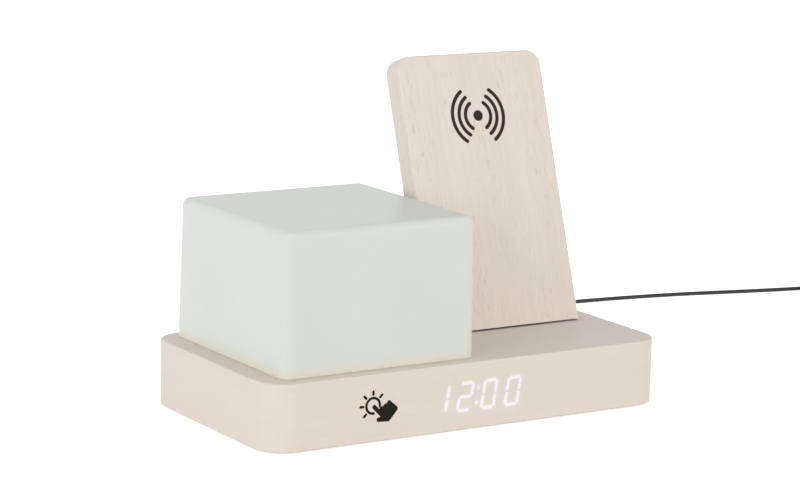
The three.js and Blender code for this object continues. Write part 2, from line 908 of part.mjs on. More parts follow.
// A round or many-sided tube along points, with its sides kept level
function tube(points, radius, sides) {
  const upright = new THREE.Vector3(0, 0, 1);
  const rings = points.map((point, index) => {
    const before = points[Math.max(index - 1, 0)];
    const after = points[Math.min(index + 1, points.length - 1)];
    const along = new THREE.Vector3().subVectors(after, before).normalize();
    const level = new THREE.Vector3().crossVectors(upright, along).normalize();
    const over = new THREE.Vector3().crossVectors(along, level);
    return circlePoints(radius, sides).map((place) => point.clone()
      .addScaledVector(level, place.x)
      .addScaledVector(over, place.y));
  });
  return loft(rings);
}

// Charging coil: one flat spiral of wire
function makeChargingCoil() {
  const steps = coilTurns * coilStepsPerTurn;
  const points = Array.from({ length: steps + 1 }, (_, step) => {
    const turns = step / coilStepsPerTurn;
    const radius = coilInnerRadius + coilPitch * turns;
    const angle = turns * fullTurn;
    return new THREE.Vector3(radius * Math.cos(angle), radius * Math.sin(angle), 0);
  });
  return tube(points, coilWire / 2, coilSides).rotateX(quarterTurn);
}

function makeChargerBoard() {
  const points = roundedPoints(chargerBoardWidth, chargerBoardLength, 0);
  const board = slabAlongY(points, 0, boardThickness);
  const chips = [-1, 1].map((side) => block(
    chargerChipSize,
    chargerChipHeight + boardThickness / 2,
    chargerChipSize,
    side * chargerChipSize,
    boardThickness + (chargerChipHeight - boardThickness / 2) / 2,
    side * chargerChipSize,
  ));
  return join(board, chips);
}

function addStand(parent) {
  const plate = new THREE.Group();
  plate.position.set(standX, standY, standBottom);
  plate.rotation.x = -standLean;
  parent.add(plate);
  addPiece(plate, "stand_shell", makeStandShell(), woodFilm);
  addPiece(plate, "stand_cover", makeStandCover(), woodFilm);
  addPiece(plate, "charging_coil", makeChargingCoil(), copper, 0, coilDepth, chargerRise);
  const sheet = new THREE.BoxGeometry(ferriteSize, ferriteThickness, ferriteSize);
  addPiece(plate, "ferrite_sheet", sheet, ferrite, 0, ferriteDepth, chargerRise);
  const chargerBoard = makeChargerBoard();
  addPiece(plate, "charger_board", chargerBoard, circuitBoard, 0, chargerBoardDepth, chargerBoardRise);
  const legScrew = screw(bracketScrewLength).rotateX(quarterTurn);
  const standScrew = screw(standScrewLength).rotateX(quarterTurn);
  for (const [name, side] of [["left", -1], ["right", 1]]) {
    addPiece(
      plate,
      `bracket_screw_leg_${name}`,
      legScrew,
      steel,
      side * bracketScrewSpread / 2,
      bracketPlane + bracketThickness / 2 + clearance + screwHeadHeight,
      bracketLegScrewRise,
    );
    addPiece(
      plate,
      `stand_screw_${name}`,
      standScrew,
      steel,
      side * standScrewSide,
      standThickness,
      standScrewRise,
    );
  }
}

// Bracket: a strip of steel bent once, its foot under the housing's roof and its leg inside the stand
function makeBracket() {
  const middle = [
    new THREE.Vector2(bracketBendY + bracketFootLength, padUnder - bracketThickness / 2),
    new THREE.Vector2(bracketBendY, padUnder - bracketThickness / 2),
    leaning(bracketPlane, bracketLegRise),
  ];
  const foot = new THREE.Vector2().subVectors(middle[1], middle[0]).normalize();
  const leg = new THREE.Vector2().subVectors(middle[2], middle[1]).normalize();
  const footSide = new THREE.Vector2(-foot.y, foot.x);
  const legSide = new THREE.Vector2(-leg.y, leg.x);
  const mitre = new THREE.Vector2().addVectors(footSide, legSide).normalize();
  const half = bracketThickness / 2;
  const mitreHalf = half / mitre.dot(footSide);
  const offset = (point, direction, distance) => point.clone().addScaledVector(direction, distance);
  const outline = [
    offset(middle[0], footSide, half),
    offset(middle[1], mitre, mitreHalf),
    offset(middle[2], legSide, half),
    offset(middle[2], legSide, -half),
    offset(middle[1], mitre, -mitreHalf),
    offset(middle[0], footSide, -half),
  ];
  const strip = slabAlongX(outline, standX - bracketWidth / 2, standX + bracketWidth / 2);
  const footHoles = [-1, 1].map((side) => rod(
    screwHoleRadius,
    padUnder - bracketThickness - overrun,
    padUnder + overrun,
    standX + side * bracketScrewSpread / 2,
    footScrewY,
  ));
  const legHoles = [-1, 1].map((side) => rodAlongY(screwHoleRadius, 0, standThickness, 0, 0)
    .translate(side * bracketScrewSpread / 2, 0, bracketLegScrewRise)
    .rotateX(-standLean)
    .translate(standX, standY, standBottom));
  return cut(strip, [...footHoles, ...legHoles]);
}

// Lead: from the main board, up through the roof and into the stand, to the edge of the charger board
function makeStandLead() {
  const inStand = (rise) => {
    const place = leaning(standLeadPlane, rise);
    return new THREE.Vector3(leadHoleX, place.x, place.y);
  };
  const edgeRise = chargerBoardRise - chargerBoardLength / 2 - clearance;
  const end = leaning(chargerBoardDepth + boardThickness / 2, edgeRise);
  const edgeX = standX + chargerBoardWidth / 2 - 2 * standLeadRadius;
  const startY = mainBoardY - mainBoardDepth / 2 + leadFromBoardEdge;
  const route = new THREE.CatmullRomCurve3([
    new THREE.Vector3(leadHoleX, startY, mainBoardTop + clearance),
    new THREE.Vector3(leadHoleX, startY, (mainBoardTop + roofUnder) / 2),
    inStand(riseAtLevel(standLeadPlane, roofUnder)),
    inStand(riseAtLevel(standLeadPlane, baseTop)),
    inStand(standScrewRise),
    inStand(bracketLegRise),
    new THREE.Vector3(edgeX, end.x, end.y),
  ]);
  const section = new THREE.Shape(circlePoints(standLeadRadius, standLeadSides));
  return new THREE.ExtrudeGeometry(section, {
    steps: standLeadSteps,
    extrudePath: route,
    bevelEnabled: false,
  });
}

function addBracket(parent) {
  addPiece(parent, "stand_bracket", makeBracket(), steel);
  addPiece(parent, "stand_lead", makeStandLead(), blackCord);
  const footScrew = screw(bracketScrewLength);
  for (const [name, side] of [["left", -1], ["right", 1]]) {
    const x = standX + side * bracketScrewSpread / 2;
    const z = padUnder - bracketThickness - screwHeadHeight;
    addPiece(parent, `bracket_screw_foot_${name}`, footScrew, steel, x, footScrewY, z);
  }
}

// One bar of a digit: a long hexagon, flat along X or upright along Z
function barOutline(length, upright) {
  const half = length / 2;
  const side = segmentThickness / 2;
  const points = [
    [-half, 0],
    [side - half, -side],
    [half - side, -side],
    [half, 0],
    [half - side, side],
    [side - half, side],
  ];
  return points.map(([along, across]) => (
    upright ? new THREE.Vector2(-across, along) : new THREE.Vector2(along, across)
  ));
}

// The seven bars of a digit, as [sideways share, upward share, upright], in half widths and half heights
const barShares = [
  [0, 1, false],
  [0, 0, false],
  [0, -1, false],
  [-1, 0.5, true],
  [1, 0.5, true],
  [-1, -0.5, true],
  [1, -0.5, true],
];

function digitBars() {
  const reachX = (digitWidth - segmentThickness) / 2;
  const reachZ = (digitHeight - segmentThickness) / 2;
  return barShares.map(([sideways, upward, upright]) => {
    const length = (upright ? reachZ : 2 * reachX) - segmentGap;
    return barOutline(length, upright).map((point) => {
      const x = point.x + sideways * reachX;
      const z = point.y + upward * reachZ;
      return new THREE.Vector2(x + z * Math.tan(digitSlant), z);
    });
  });
}

const reflectorFront = frontFace + windowSkin + clearance;
const displayBoardFront = reflectorFront + reflectorDepth;

// Display reflector: a block with a slot for each bar of the four digits and two holes for the colon
function makeReflector() {
  const shape = new THREE.Shape(roundedPoints(reflectorWidth, reflectorHeight, 0));
  for (let digit = 0; digit < digitCount; digit += 1) {
    const x = (digit - (digitCount - 1) / 2) * digitPitch;
    for (const bar of digitBars()) {
      shape.holes.push(new THREE.Path(bar.map((point) => new THREE.Vector2(point.x + x, point.y))));
    }
  }
  for (const side of [-1, 1]) {
    const z = side * colonSpread / 2;
    shape.holes.push(new THREE.Path(circlePoints(colonRadius, smallSides, z * Math.tan(digitSlant), z)));
  }
  const options = { depth: reflectorDepth, bevelEnabled: false };
  return new THREE.ExtrudeGeometry(shape, options).rotateX(quarterTurn);
}

function addDisplay(parent) {
  const places = [displayOffset, displayBoardFront, middleHeight];
  addPiece(parent, "display_reflector", makeReflector(), palePlastic, ...places);
  const board = slabAlongY(roundedPoints(displayBoardWidth, displayBoardHeight, 0), 0, boardThickness);
  const holes = [-1, 1].map((side) => rodAlongY(
    screwHoleRadius,
    -overrun,
    boardThickness + overrun,
    side * displayPostSpread / 2,
    0,
  ));
  addPiece(parent, "display_board", cut(board, holes), circuitBoard, ...places);
  const displayScrew = screw(boardScrewLength).rotateX(quarterTurn);
  const screwY = displayBoardFront + boardThickness + screwHeadHeight;
  for (const [name, side] of [["left", -1], ["right", 1]]) {
    const x = displayOffset + side * displayPostSpread / 2;
    addPiece(parent, `display_screw_${name}`, displayScrew, steel, x, screwY, middleHeight);
  }
  const padY = frontFace + touchSkin + clearance;
  const padBack = padY + touchPadThickness;
  const pad = rodAlongY(touchPadRadius, padY, padBack, -touchOffset, middleHeight, roundSides);
  addPiece(parent, "touch_pad", pad, copper);
}

function addBoards(parent) {
  const plate = block(
    mainBoardWidth,
    mainBoardDepth,
    boardThickness,
    mainBoardX,
    mainBoardY,
    mainBoardBottom,
  );
  const chip = block(
    clockChipSize,
    clockChipSize,
    clockChipHeight + boardThickness / 2,
    mainBoardX + clockChipSide,
    mainBoardY,
    mainBoardTop - boardThickness / 2,
  );
  const holes = standoffPlaces.map(
    ([, x, y]) => rod(screwHoleRadius, mainBoardBottom - overrun, mainBoardTop + overrun, x, y),
  );
  addPiece(parent, "main_board", cut(join(plate, [chip]), holes), circuitBoard);
  const boardScrew = screw(boardScrewLength).rotateX(Math.PI);
  for (const index of [0, 2]) {
    const [side, x, y] = standoffPlaces[index];
    addPiece(parent, `board_screw_${side}`, boardScrew, steel, x, y, mainBoardTop + screwHeadHeight);
  }
  const holder = cut(
    block(cellHolderWidth, cellHolderDepth, cellHolderHeight, cellX, mainBoardY, mainBoardTop),
    [rod(
      cellRadius + clearance,
      mainBoardTop + cellHolderFloor,
      mainBoardTop + cellHolderHeight + overrun,
      cellX,
      mainBoardY,
      roundSides,
    )],
  );
  addPiece(parent, "cell_holder", holder, chipPlastic);
  const cell = turned([[0, cellRadius], [cellThickness, cellRadius]], roundSides);
  addPiece(parent, "coin_cell", cell, steel, cellX, mainBoardY, mainBoardTop + cellHolderFloor);
  const buzzer = turned([[0, buzzerRadius], [buzzerHeight, buzzerRadius]], roundSides);
  addPiece(parent, "buzzer", buzzer, chipPlastic, buzzerX, buzzerY, coverTop);
}

const buttonNames = ["set", "down", "up"];
const buttonPlaces = Array.from({ length: buttonCount }, (_, index) => [
  buttonNames[index] ?? `extra_${index}`,
  socketX + socketToButtons + index * buttonPitch,
]);
const buttonBack = panelFront - clearance;
const plungerBack = buttonBack - buttonLipThickness - clearance;
const plungerFront = plungerBack - plungerLength;

// Rear panel: a plate recessed in the back of the housing, held by a lip inside the wall
function makeRearPanel() {
  const plate = slabAlongY(
    roundedPoints(panelWidth, panelHeight, panelCornerRadius, 0, 0, fineCornerSteps),
    innerBack - overrun,
    panelBack,
  );
  const lipWidth = panelWidth + 2 * panelLip;
  const lipHeight = panelHeight + 2 * panelLip;
  const lip = slabAlongY(
    roundedPoints(lipWidth, lipHeight, panelCornerRadius, 0, 0, fineCornerSteps),
    panelFront,
    innerBack,
  );
  const buttonHoles = buttonPlaces.map(([, x]) => slabAlongY(
    roundedPoints(
      buttonWidth + 2 * clearance,
      buttonHeight + 2 * clearance,
      buttonCornerRadius + clearance,
      x - panelX,
      0,
      fineCornerSteps,
    ),
    panelFront - overrun,
    panelBack + overrun,
  ));
  const socketHole = slabAlongY(
    roundedPoints(
      socketWidth + 2 * clearance,
      socketHeight + 2 * clearance,
      socketHeight / 2,
      socketX - panelX,
      socketZ - panelZ,
      fineCornerSteps,
    ),
    panelFront - overrun,
    panelBack + overrun,
  );
  return cut(join(plate, [lip]), [...buttonHoles, socketHole]);
}

function makeSocket() {
  const roundness = socketHeight / 2 - clearance;
  const outer = roundedPoints(socketWidth, socketHeight, roundness, 0, 0, fineCornerSteps);
  const inner = roundedPoints(
    socketWidth - 2 * socketWall,
    socketHeight - 2 * socketWall,
    socketHeight / 2 - socketWall - clearance,
    0,
    0,
    fineCornerSteps,
  );
  const mouth = panelBack - clearance;
  return cut(slabAlongY(outer, mouth - socketDepth, mouth), [
    slabAlongY(inner, mouth - socketDepth + socketWall, mouth + overrun),
  ]);
}

// Push button: a rounded cap that stands proud of the panel, with a lip behind it
function makeButton() {
  const cap = slabAlongY(
    roundedPoints(buttonWidth, buttonHeight, buttonCornerRadius, 0, 0, fineCornerSteps),
    buttonBack - overrun,
    panelBack + buttonProud,
  );
  const lip = slabAlongY(
    roundedPoints(
      buttonWidth + 2 * buttonLip,
      buttonHeight + 2 * buttonLip,
      buttonCornerRadius,
      0,
      0,
      fineCornerSteps,
    ),
    buttonBack - buttonLipThickness,
    buttonBack,
  );
  return join(cap, [lip]);
}

// Button switch: a block on the main board with a well, in which the plunger slides
function makeSwitch() {
  const height = 2 * (panelZ - mainBoardTop);
  const body = block(switchWidth, switchDepth, height, 0, mainBoardBack - switchDepth / 2, mainBoardTop);
  const wellFloor = plungerFront - buttonTravel - clearance;
  return cut(body, [rodAlongY(plungerRadius + clearance, wellFloor, mainBoardBack + overrun, 0, panelZ)]);
}

function addRear(parent) {
  addPiece(parent, "rear_panel", makeRearPanel(), darkPlastic, panelX, 0, panelZ);
  addPiece(parent, "power_socket", makeSocket(), steel, socketX, 0, socketZ);
  const button = makeButton();
  const switchBody = makeSwitch();
  const plunger = rodAlongY(plungerRadius, plungerFront, plungerBack, 0, panelZ);
  for (const [name, x] of buttonPlaces) {
    addPiece(parent, `${name}_button`, button, darkPlastic, x, 0, panelZ);
    addPiece(parent, `${name}_switch`, switchBody, chipPlastic, x);
    addPiece(parent, `${name}_plunger`, plunger, blackRubber, x);
  }
}

// Moulded grip of a plug along Y, from its flat front to a strain relief that tapers to the cord
function makeGrip(width, height, length) {
  const steps = fineCornerSteps;
  const body = (y, inset) => roundedPoints(
    width - 2 * inset,
    height - 2 * inset,
    Math.max(gripCornerRadius - inset, clearance),
    0,
    0,
    steps,
  ).map((point) => new THREE.Vector3(point.x, y, point.y));
  const neck = (y, radius) => roundedPoints(2 * radius, 2 * radius, radius * neckRoundShare, 0, 0, steps)
    .map((point) => new THREE.Vector3(point.x, y, point.y));
  const neckRadius = Math.min(height / 2 - gripCornerRadius / 2, 2 * reliefEndRadius);
  const edge = gripCornerRadius / 2;
  // The neck in equal steps from the cord to the grip: every second step lies in a groove
  const stepCount = 2 * reliefGrooves + 1;
  const relief = [];
  for (let step = 0; step < stepCount; step += 1) {
    const depth = step % 2 === 1 ? reliefGrooveDepth : 0;
    for (const share of [step / stepCount, (step + 1) / stepCount]) {
      const radius = THREE.MathUtils.lerp(reliefEndRadius, neckRadius, share);
      relief.push(neck(length + reliefLength * (1 - share), radius - depth));
    }
  }
  return loft([
    ...relief,
    body(length, edge),
    body(length - edge, 0),
    body(edge, 0),
    body(0, edge),
  ]);
}

// Metal shell of a plug along -Y, in front of its grip
function makeTongue(width, height, length, radius, wall) {
  const outline = roundedPoints(width, height, radius, 0, 0, fineCornerSteps);
  const outer = slabAlongY(outline, -length, -clearance);
  if (wall === 0) {
    return outer;
  }
  const hollow = roundedPoints(width - 2 * wall, height - 2 * wall, 0, 0, 0, fineCornerSteps);
  return cut(outer, [slabAlongY(hollow, -length - overrun, -clearance - overrun)]);
}

const gripFront = panelBack + clearance;
const farPlugX = coilCentreX + outerCoilRadius();
const farPlugY = coilCentreY - tailFlat - tailFall - 2 * cordRadius - clearance;

function coilSpan() {
  return cordPitch * windingTurns() / coilLayers;
}

function outerCoilRadius() {
  return coilMeanRadius + coilSpan() / 2;
}

// The coil turns clockwise, seen from above, from where the cord comes in to where its tail leaves
function windingTurns() {
  return coilLayers * coilTurnsPerLayer + coilEntryAngle / fullTurn;
}

const coilLift = tieThickness + clearance + cordRadius;

// The cord's line in the coil: in and out again, layer by layer, with a climb of half a turn between layers
function coilPoint(turn) {
  const perLayer = windingTurns() / coilLayers;
  const layer = Math.min(Math.floor(turn / perLayer), coilLayers - 1);
  const within = turn / perLayer - layer;
  const inward = layer % 2 === 0 ? within : 1 - within;
  const radius = outerCoilRadius() - inward * coilSpan();
  const change = THREE.MathUtils.clamp(Math.round(turn / perLayer), 1, coilLayers - 1);
  const climbed = THREE.MathUtils.clamp((turn - change * perLayer) / climbTurns + 1 / 2, 0, 1);
  const angle = coilEntryAngle - turn * fullTurn;
  return new THREE.Vector3(
    coilCentreX + radius * Math.cos(angle),
    coilCentreY + radius * Math.sin(angle),
    coilLift + cordPitch * (change - 1 + climbed),
  );
}

// The whole line of the put-away cord: a straight start, the turns, then a tail that falls to the plug
function coilLine() {
  const start = coilPoint(0);
  const heading = new THREE.Vector3(Math.sin(coilEntryAngle), -Math.cos(coilEntryAngle), 0);
  const points = [start.clone().addScaledVector(heading, -2 * cordRadius)];
  const count = Math.round(windingTurns() * windingSteps);
  for (let step = 0; step <= count; step += 1) {
    points.push(coilPoint(step * windingTurns() / count));
  }
  const top = points[points.length - 1].z;
  const fall = top - farGripHeight / 2;
  for (let step = 0; step <= tailSteps; step += 1) {
    const share = step / tailSteps;
    const z = top - fall * (1 - Math.cos(share * Math.PI)) / 2;
    points.push(new THREE.Vector3(farPlugX, coilCentreY - tailFlat - share * tailFall, z));
  }
  points.push(new THREE.Vector3(farPlugX, farPlugY + clearance, farGripHeight / 2));
  return points;
}

// The least gap from the cord in the coil to itself, between stretches that aren't neighbours
function leastGap(points) {
  const apart = Math.round(windingSteps / 2);
  let least = Infinity;
  for (let first = 0; first < points.length; first += 1) {
    for (let second = first + apart; second < points.length; second += 1) {
      least = Math.min(least, points[first].distanceTo(points[second]));
    }
  }
  return least - 2 * cordRadius;
}

function makeCordRun(end, heading) {
  const points = cordRoute.map(([x, y, z]) => new THREE.Vector3(x, y, z));
  points.push(end.clone().addScaledVector(heading, -2 * cordRadius));
  points.push(end);
  const route = new THREE.CatmullRomCurve3(points);
  const section = new THREE.Shape(circlePoints(cordRadius, cordSides));
  return new THREE.ExtrudeGeometry(section, { steps: cordSteps, extrudePath: route, bevelEnabled: false });
}

// Tie: a thin strap round the bundle of turns, on the side of the coil away from the plug
function makeTie() {
  const width = coilSpan() + 2 * cordRadius + 4 * clearance;
  const height = (coilLayers - 1) * cordPitch + 2 * cordRadius + 2 * clearance;
  const middle = tieThickness + height / 2;
  const outerWidth = width + 2 * tieThickness;
  const outerHeight = height + 2 * tieThickness;
  const outer = roundedPoints(outerWidth, outerHeight, cordRadius, 0, middle, fineCornerSteps);
  const inner = roundedPoints(width, height, cordRadius - tieThickness, 0, middle, fineCornerSteps);
  return cut(slabAlongY(outer, -tieWidth / 2, tieWidth / 2), [
    slabAlongY(inner, -tieWidth, tieWidth),
  ]);
}

function addCord(parent) {
  const inlet = new THREE.Group();
  inlet.position.set(socketX, gripFront, socketZ);
  parent.add(inlet);
  const inletSizes = [inletTongueWidth, inletTongueHeight, inletTongueLength];
  addPiece(inlet, "inlet_plug_shell", makeTongue(...inletSizes, inletTongueRadius, 0), steel);
  const inletGrip = makeGrip(inletGripWidth, inletGripHeight, inletGripLength);
  addPiece(inlet, "inlet_plug_grip", inletGrip, blackCord);

  const line = coilLine();
  console.log(`least gap in the cord coil: ${leastGap(line).toFixed(3)} mm`);
  const heading = new THREE.Vector3().subVectors(line[1], line[0]).normalize();
  const runEnd = line[0].clone().addScaledVector(heading, -clearance);
  addPiece(parent, "cord_run", makeCordRun(runEnd, heading), blackCord);
  addPiece(parent, "cord_coil", tube(line, cordRadius, windingSides), blackCord);
  addPiece(parent, "cord_tie", makeTie(), blackRubber, coilCentreX - coilMeanRadius, coilCentreY);

  const far = new THREE.Group();
  far.position.set(farPlugX, farPlugY - farGripLength - reliefLength, farGripHeight / 2);
  parent.add(far);
  const farSizes = [farTongueWidth, farTongueHeight, farTongueLength];
  addPiece(far, "far_plug_shell", makeTongue(...farSizes, farTongueWall, farTongueWall), steel);
  addPiece(far, "far_plug_grip", makeGrip(farGripWidth, farGripHeight, farGripLength), blackCord);
}

const clock = new THREE.Group();
addBase(clock);
addLamp(clock);
addStand(clock);
addBracket(clock);
addDisplay(clock);
addBoards(clock);
addRear(clock);
addCord(clock);

export default clock;
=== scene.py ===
# Night light alarm clock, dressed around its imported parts: a low base wrapped in pale wood film with an LED clock
# behind its front, a frosted lamp cube, a leaning stand that charges a phone, and a thin black supply cord.
# Metres, +Z up, front towards -Y. The clock stands on the plane z = 0.
import math

import bmesh
import bpy
import numpy as np
from mathutils import Matrix, Vector


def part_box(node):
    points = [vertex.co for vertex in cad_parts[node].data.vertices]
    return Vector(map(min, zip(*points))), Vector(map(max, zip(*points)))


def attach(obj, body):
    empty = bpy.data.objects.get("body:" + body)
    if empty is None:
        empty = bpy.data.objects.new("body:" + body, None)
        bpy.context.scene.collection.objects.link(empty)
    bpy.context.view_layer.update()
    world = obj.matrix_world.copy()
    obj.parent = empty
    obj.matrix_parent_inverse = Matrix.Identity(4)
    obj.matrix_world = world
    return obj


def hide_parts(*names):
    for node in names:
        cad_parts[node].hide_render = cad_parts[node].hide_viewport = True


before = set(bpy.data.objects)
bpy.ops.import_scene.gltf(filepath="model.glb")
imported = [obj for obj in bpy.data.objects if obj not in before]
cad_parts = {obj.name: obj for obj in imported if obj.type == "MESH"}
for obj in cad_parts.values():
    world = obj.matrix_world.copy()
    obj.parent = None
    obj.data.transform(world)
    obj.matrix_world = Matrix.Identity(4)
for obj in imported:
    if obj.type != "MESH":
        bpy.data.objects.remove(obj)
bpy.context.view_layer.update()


# Camera
# A long lens looks from the front left and a little above. Its place and axes are in the clock's own frame, and
# the lens is given for a picture 800 pixels wide on a 36 mm film.
PICTURE_WIDTH_PX = 800
FOCAL_PX = 2846.17
FILM_WIDTH_MM = 36
CAMERA_PLACE = (-0.65687, -1.02211, 0.30611)
CAMERA_RIGHT = (0.84577246, -0.53297649, 0.02459706)
CAMERA_UP = (0.08223422, 0.17576934, 0.98099066)
CAMERA_BACK = (-0.52716836, -0.82767216, 0.19248977)

camera_data = bpy.data.cameras.new("camera")
camera_data.sensor_width = FILM_WIDTH_MM
camera_data.lens = FOCAL_PX * FILM_WIDTH_MM / PICTURE_WIDTH_PX
camera_data.clip_end = 50
camera = bpy.data.objects.new("camera", camera_data)
axes = Matrix((CAMERA_RIGHT, CAMERA_UP, CAMERA_BACK)).transposed()
camera.matrix_world = Matrix.Translation(CAMERA_PLACE) @ axes.to_4x4()
bpy.context.scene.collection.objects.link(camera)
bpy.context.scene.camera = camera
bpy.context.scene.view_settings.view_transform = "Standard"


# Supply cord
# A thin round lead, 2 mm over its soft PVC jacket and 1.2 m long. It leaves the plug at the back, drops to the
# table, runs off to the right, and the rest is wound into a small coil with the far plug beside it.
TURN = 2 * math.pi
CORD_RADIUS = 0.001
CORD_SIDES = 14
CORD_RING_SPACING = 0.0009
CORD_ROUTE = [
    (0.022, 0.0791, 0.0105),
    (0.022, 0.083, 0.0105),
    (0.0224, 0.092, 0.0083),
    (0.0248, 0.102, 0.0042),
    (0.0305, 0.1125, 0.0017),
    (0.042, 0.1234, 0.0011),
    (0.06, 0.1314, 0.0011),
    (0.085, 0.1364, 0.0011),
    (0.115, 0.1389, 0.0011),
    (0.15, 0.1392, 0.0011),
    (0.1916, 0.1373, 0.0011),
    (0.2166, 0.1346, 0.0011),
    (0.2479, 0.1293, 0.0011),
    (0.284, 0.1205, 0.0011),
    (0.305, 0.115, 0.0012),
    (0.3175, 0.1116, 0.0014),
]
COIL_CENTRE = (0.331, 0.0929)
COIL_MEAN_RADIUS = 0.0107
COIL_LAYERS = 4
COIL_ENTRY_ANGLE = math.radians(75)
COIL_TURNS = COIL_LAYERS * 3 + COIL_ENTRY_ANGLE / TURN
COIL_PITCH = 0.00245
COIL_LIFT = 0.0017
COIL_CLIMB_TURNS = 0.5
COIL_STEPS_PER_TURN = 48
COIL_SPAN = COIL_PITCH * COIL_TURNS / COIL_LAYERS
TAIL_FLAT = 0.006
TAIL_FALL = 0.022
TAIL_STEPS = 24
FAR_PLUG_HEIGHT = 0.0076


def smooth_line(points, spacing):
    """A cubic curve through the points: between two of them it starts and ends along the slope from the point
    before to the point after, each weighted by the distance to its neighbours."""
    points = np.asarray(points, float)
    chord = np.linalg.norm(np.diff(points, axis=0), axis=1)
    along = np.concatenate([[0], np.cumsum(chord)])
    slopes = np.diff(points, axis=0) / chord[:, None]
    weight = (chord[:-1] / (chord[:-1] + chord[1:]))[:, None]
    inner = slopes[:-1] * (1 - weight) + slopes[1:] * weight
    tangents = np.concatenate([slopes[:1], inner, slopes[-1:]])
    at = np.linspace(0, along[-1], max(2, int(along[-1] / spacing) + 1))
    piece = np.clip(np.searchsorted(along, at, side="right") - 1, 0, len(chord) - 1)
    t = ((at - along[piece]) / chord[piece])[:, None]
    step = chord[piece][:, None]
    return (
        (2 * t**3 - 3 * t**2 + 1) * points[piece]
        + (t**3 - 2 * t**2 + t) * step * tangents[piece]
        + (3 * t**2 - 2 * t**3) * points[piece + 1]
        + (t**3 - t**2) * step * tangents[piece + 1]
    )


def spaced_line(points, spacing):
    """The same line with its points an even distance apart."""
    along = np.concatenate([[0], np.cumsum(np.linalg.norm(np.diff(points, axis=0), axis=1))])
    at = np.linspace(0, along[-1], int(along[-1] / spacing) + 1)
    return np.stack([np.interp(at, along, points[:, axis]) for axis in range(3)], axis=1)


def coil_points(turns):
    """A spiral that winds in and out again, layer by layer: the radius changes evenly by one span in each layer,
    and the height by one pitch in the half turn between two layers."""
    per_layer = COIL_TURNS / COIL_LAYERS
    layer = np.minimum(np.floor(turns / per_layer), COIL_LAYERS - 1)
    within = turns / per_layer - layer
    inward = np.where(layer % 2 == 0, within, 1 - within)
    radius = COIL_MEAN_RADIUS + COIL_SPAN / 2 - inward * COIL_SPAN
    change = np.clip(np.round(turns / per_layer), 1, COIL_LAYERS - 1)
    climbed = np.clip((turns - change * per_layer) / COIL_CLIMB_TURNS + 0.5, 0, 1)
    climbed = climbed * climbed * (3 - 2 * climbed)
    angle = COIL_ENTRY_ANGLE - turns * TURN
    x = COIL_CENTRE[0] + radius * np.cos(angle)
    y = COIL_CENTRE[1] + radius * np.sin(angle)
    return np.stack([x, y, COIL_LIFT + COIL_PITCH * (change - 1 + climbed)], axis=1)


def cord_line():
    """The whole centreline: the free stretch, the coil, and a tail that falls to the far plug in a half wave."""
    coil = coil_points(np.linspace(0, COIL_TURNS, int(COIL_TURNS * COIL_STEPS_PER_TURN)))
    heading = np.array([math.sin(COIL_ENTRY_ANGLE), -math.cos(COIL_ENTRY_ANGLE), 0])
    lead_in = coil[0] - 2 * CORD_RADIUS * heading
    run = smooth_line([*CORD_ROUTE, lead_in, coil[0]], CORD_RING_SPACING)
    share = np.linspace(0, 1, TAIL_STEPS)
    tail_x = COIL_CENTRE[0] + COIL_MEAN_RADIUS + COIL_SPAN / 2
    tail_y = COIL_CENTRE[1] - TAIL_FLAT - share * TAIL_FALL
    tail_z = coil[-1, 2] - (coil[-1, 2] - FAR_PLUG_HEIGHT / 2) * (1 - np.cos(share * math.pi)) / 2
    tail = np.stack([np.full(TAIL_STEPS, tail_x), tail_y, tail_z], axis=1)
    end = tail[-1:] - [[0, 2 * CORD_RADIUS, 0]]
    return spaced_line(np.concatenate([run[:-1], coil, tail, end]), CORD_RING_SPACING)


def side_and_up(line):
    """Two directions square to the line at each of its points: a level one, and one square to both."""
    along = np.gradient(line, axis=0)
    along /= np.linalg.norm(along, axis=1)[:, None]
    side = np.cross(along, [0, 0, 1.0])
    side /= np.linalg.norm(side, axis=1)[:, None]
    return side, np.cross(side, along)


SMOOTH_ANGLE = math.radians(35)


def add_mesh(name, points, faces):
    """A mesh object from arrays of points and faces, its faces turned outwards, smooth but for sharp edges."""
    mesh = bpy.data.meshes.new(name)
    mesh.from_pydata(np.asarray(points, float).tolist(), [], faces)
    build = bmesh.new()
    build.from_mesh(mesh)
    bmesh.ops.recalc_face_normals(build, faces=build.faces)
    build.to_mesh(mesh)
    build.free()
    mesh.shade_smooth()
    mesh.set_sharp_from_angle(angle=SMOOTH_ANGLE)
    piece = bpy.data.objects.new(name, mesh)
    bpy.context.scene.collection.objects.link(piece)
    return piece


def grid_faces(rows, columns):
    """Faces of a grid of points whose rows close on themselves."""
    row, column = np.meshgrid(np.arange(rows - 1), np.arange(columns), indexing="ij")
    here, ahead, beside = row * columns, (row + 1) * columns, (column + 1) % columns
    corners = [here + column, here + beside, ahead + beside, ahead + column]
    return np.stack([corner.ravel() for corner in corners], axis=1)


def add_skin(name, rings, closed=True):
    """A body whose skin runs through rings of points, in order. Its two ends are closed by flat faces, or, where
    the rings lead back to the first one, by joining the last ring to it."""
    rings = np.asarray(rings, float)
    rows, columns = rings.shape[:2]
    faces = grid_faces(rows, columns).tolist()
    if closed:
        faces += [list(range(columns)), list(range((rows - 1) * columns, rows * columns))]
    else:
        start = np.arange(columns)
        end = start + (rows - 1) * columns
        faces += np.stack([end, np.roll(end, -1), np.roll(start, -1), start], axis=1).tolist()
    return add_mesh(name, rings.reshape(-1, 3), faces)


def tube_rings(line, radius, sides):
    """Circles round the points of a line: centre + radius (side cos a + up sin a)."""
    side, up = side_and_up(line)
    angle = np.linspace(0, TURN, sides, endpoint=False)[None, :, None]
    return line[:, None] + radius * (side[:, None] * np.cos(angle) + up[:, None] * np.sin(angle))


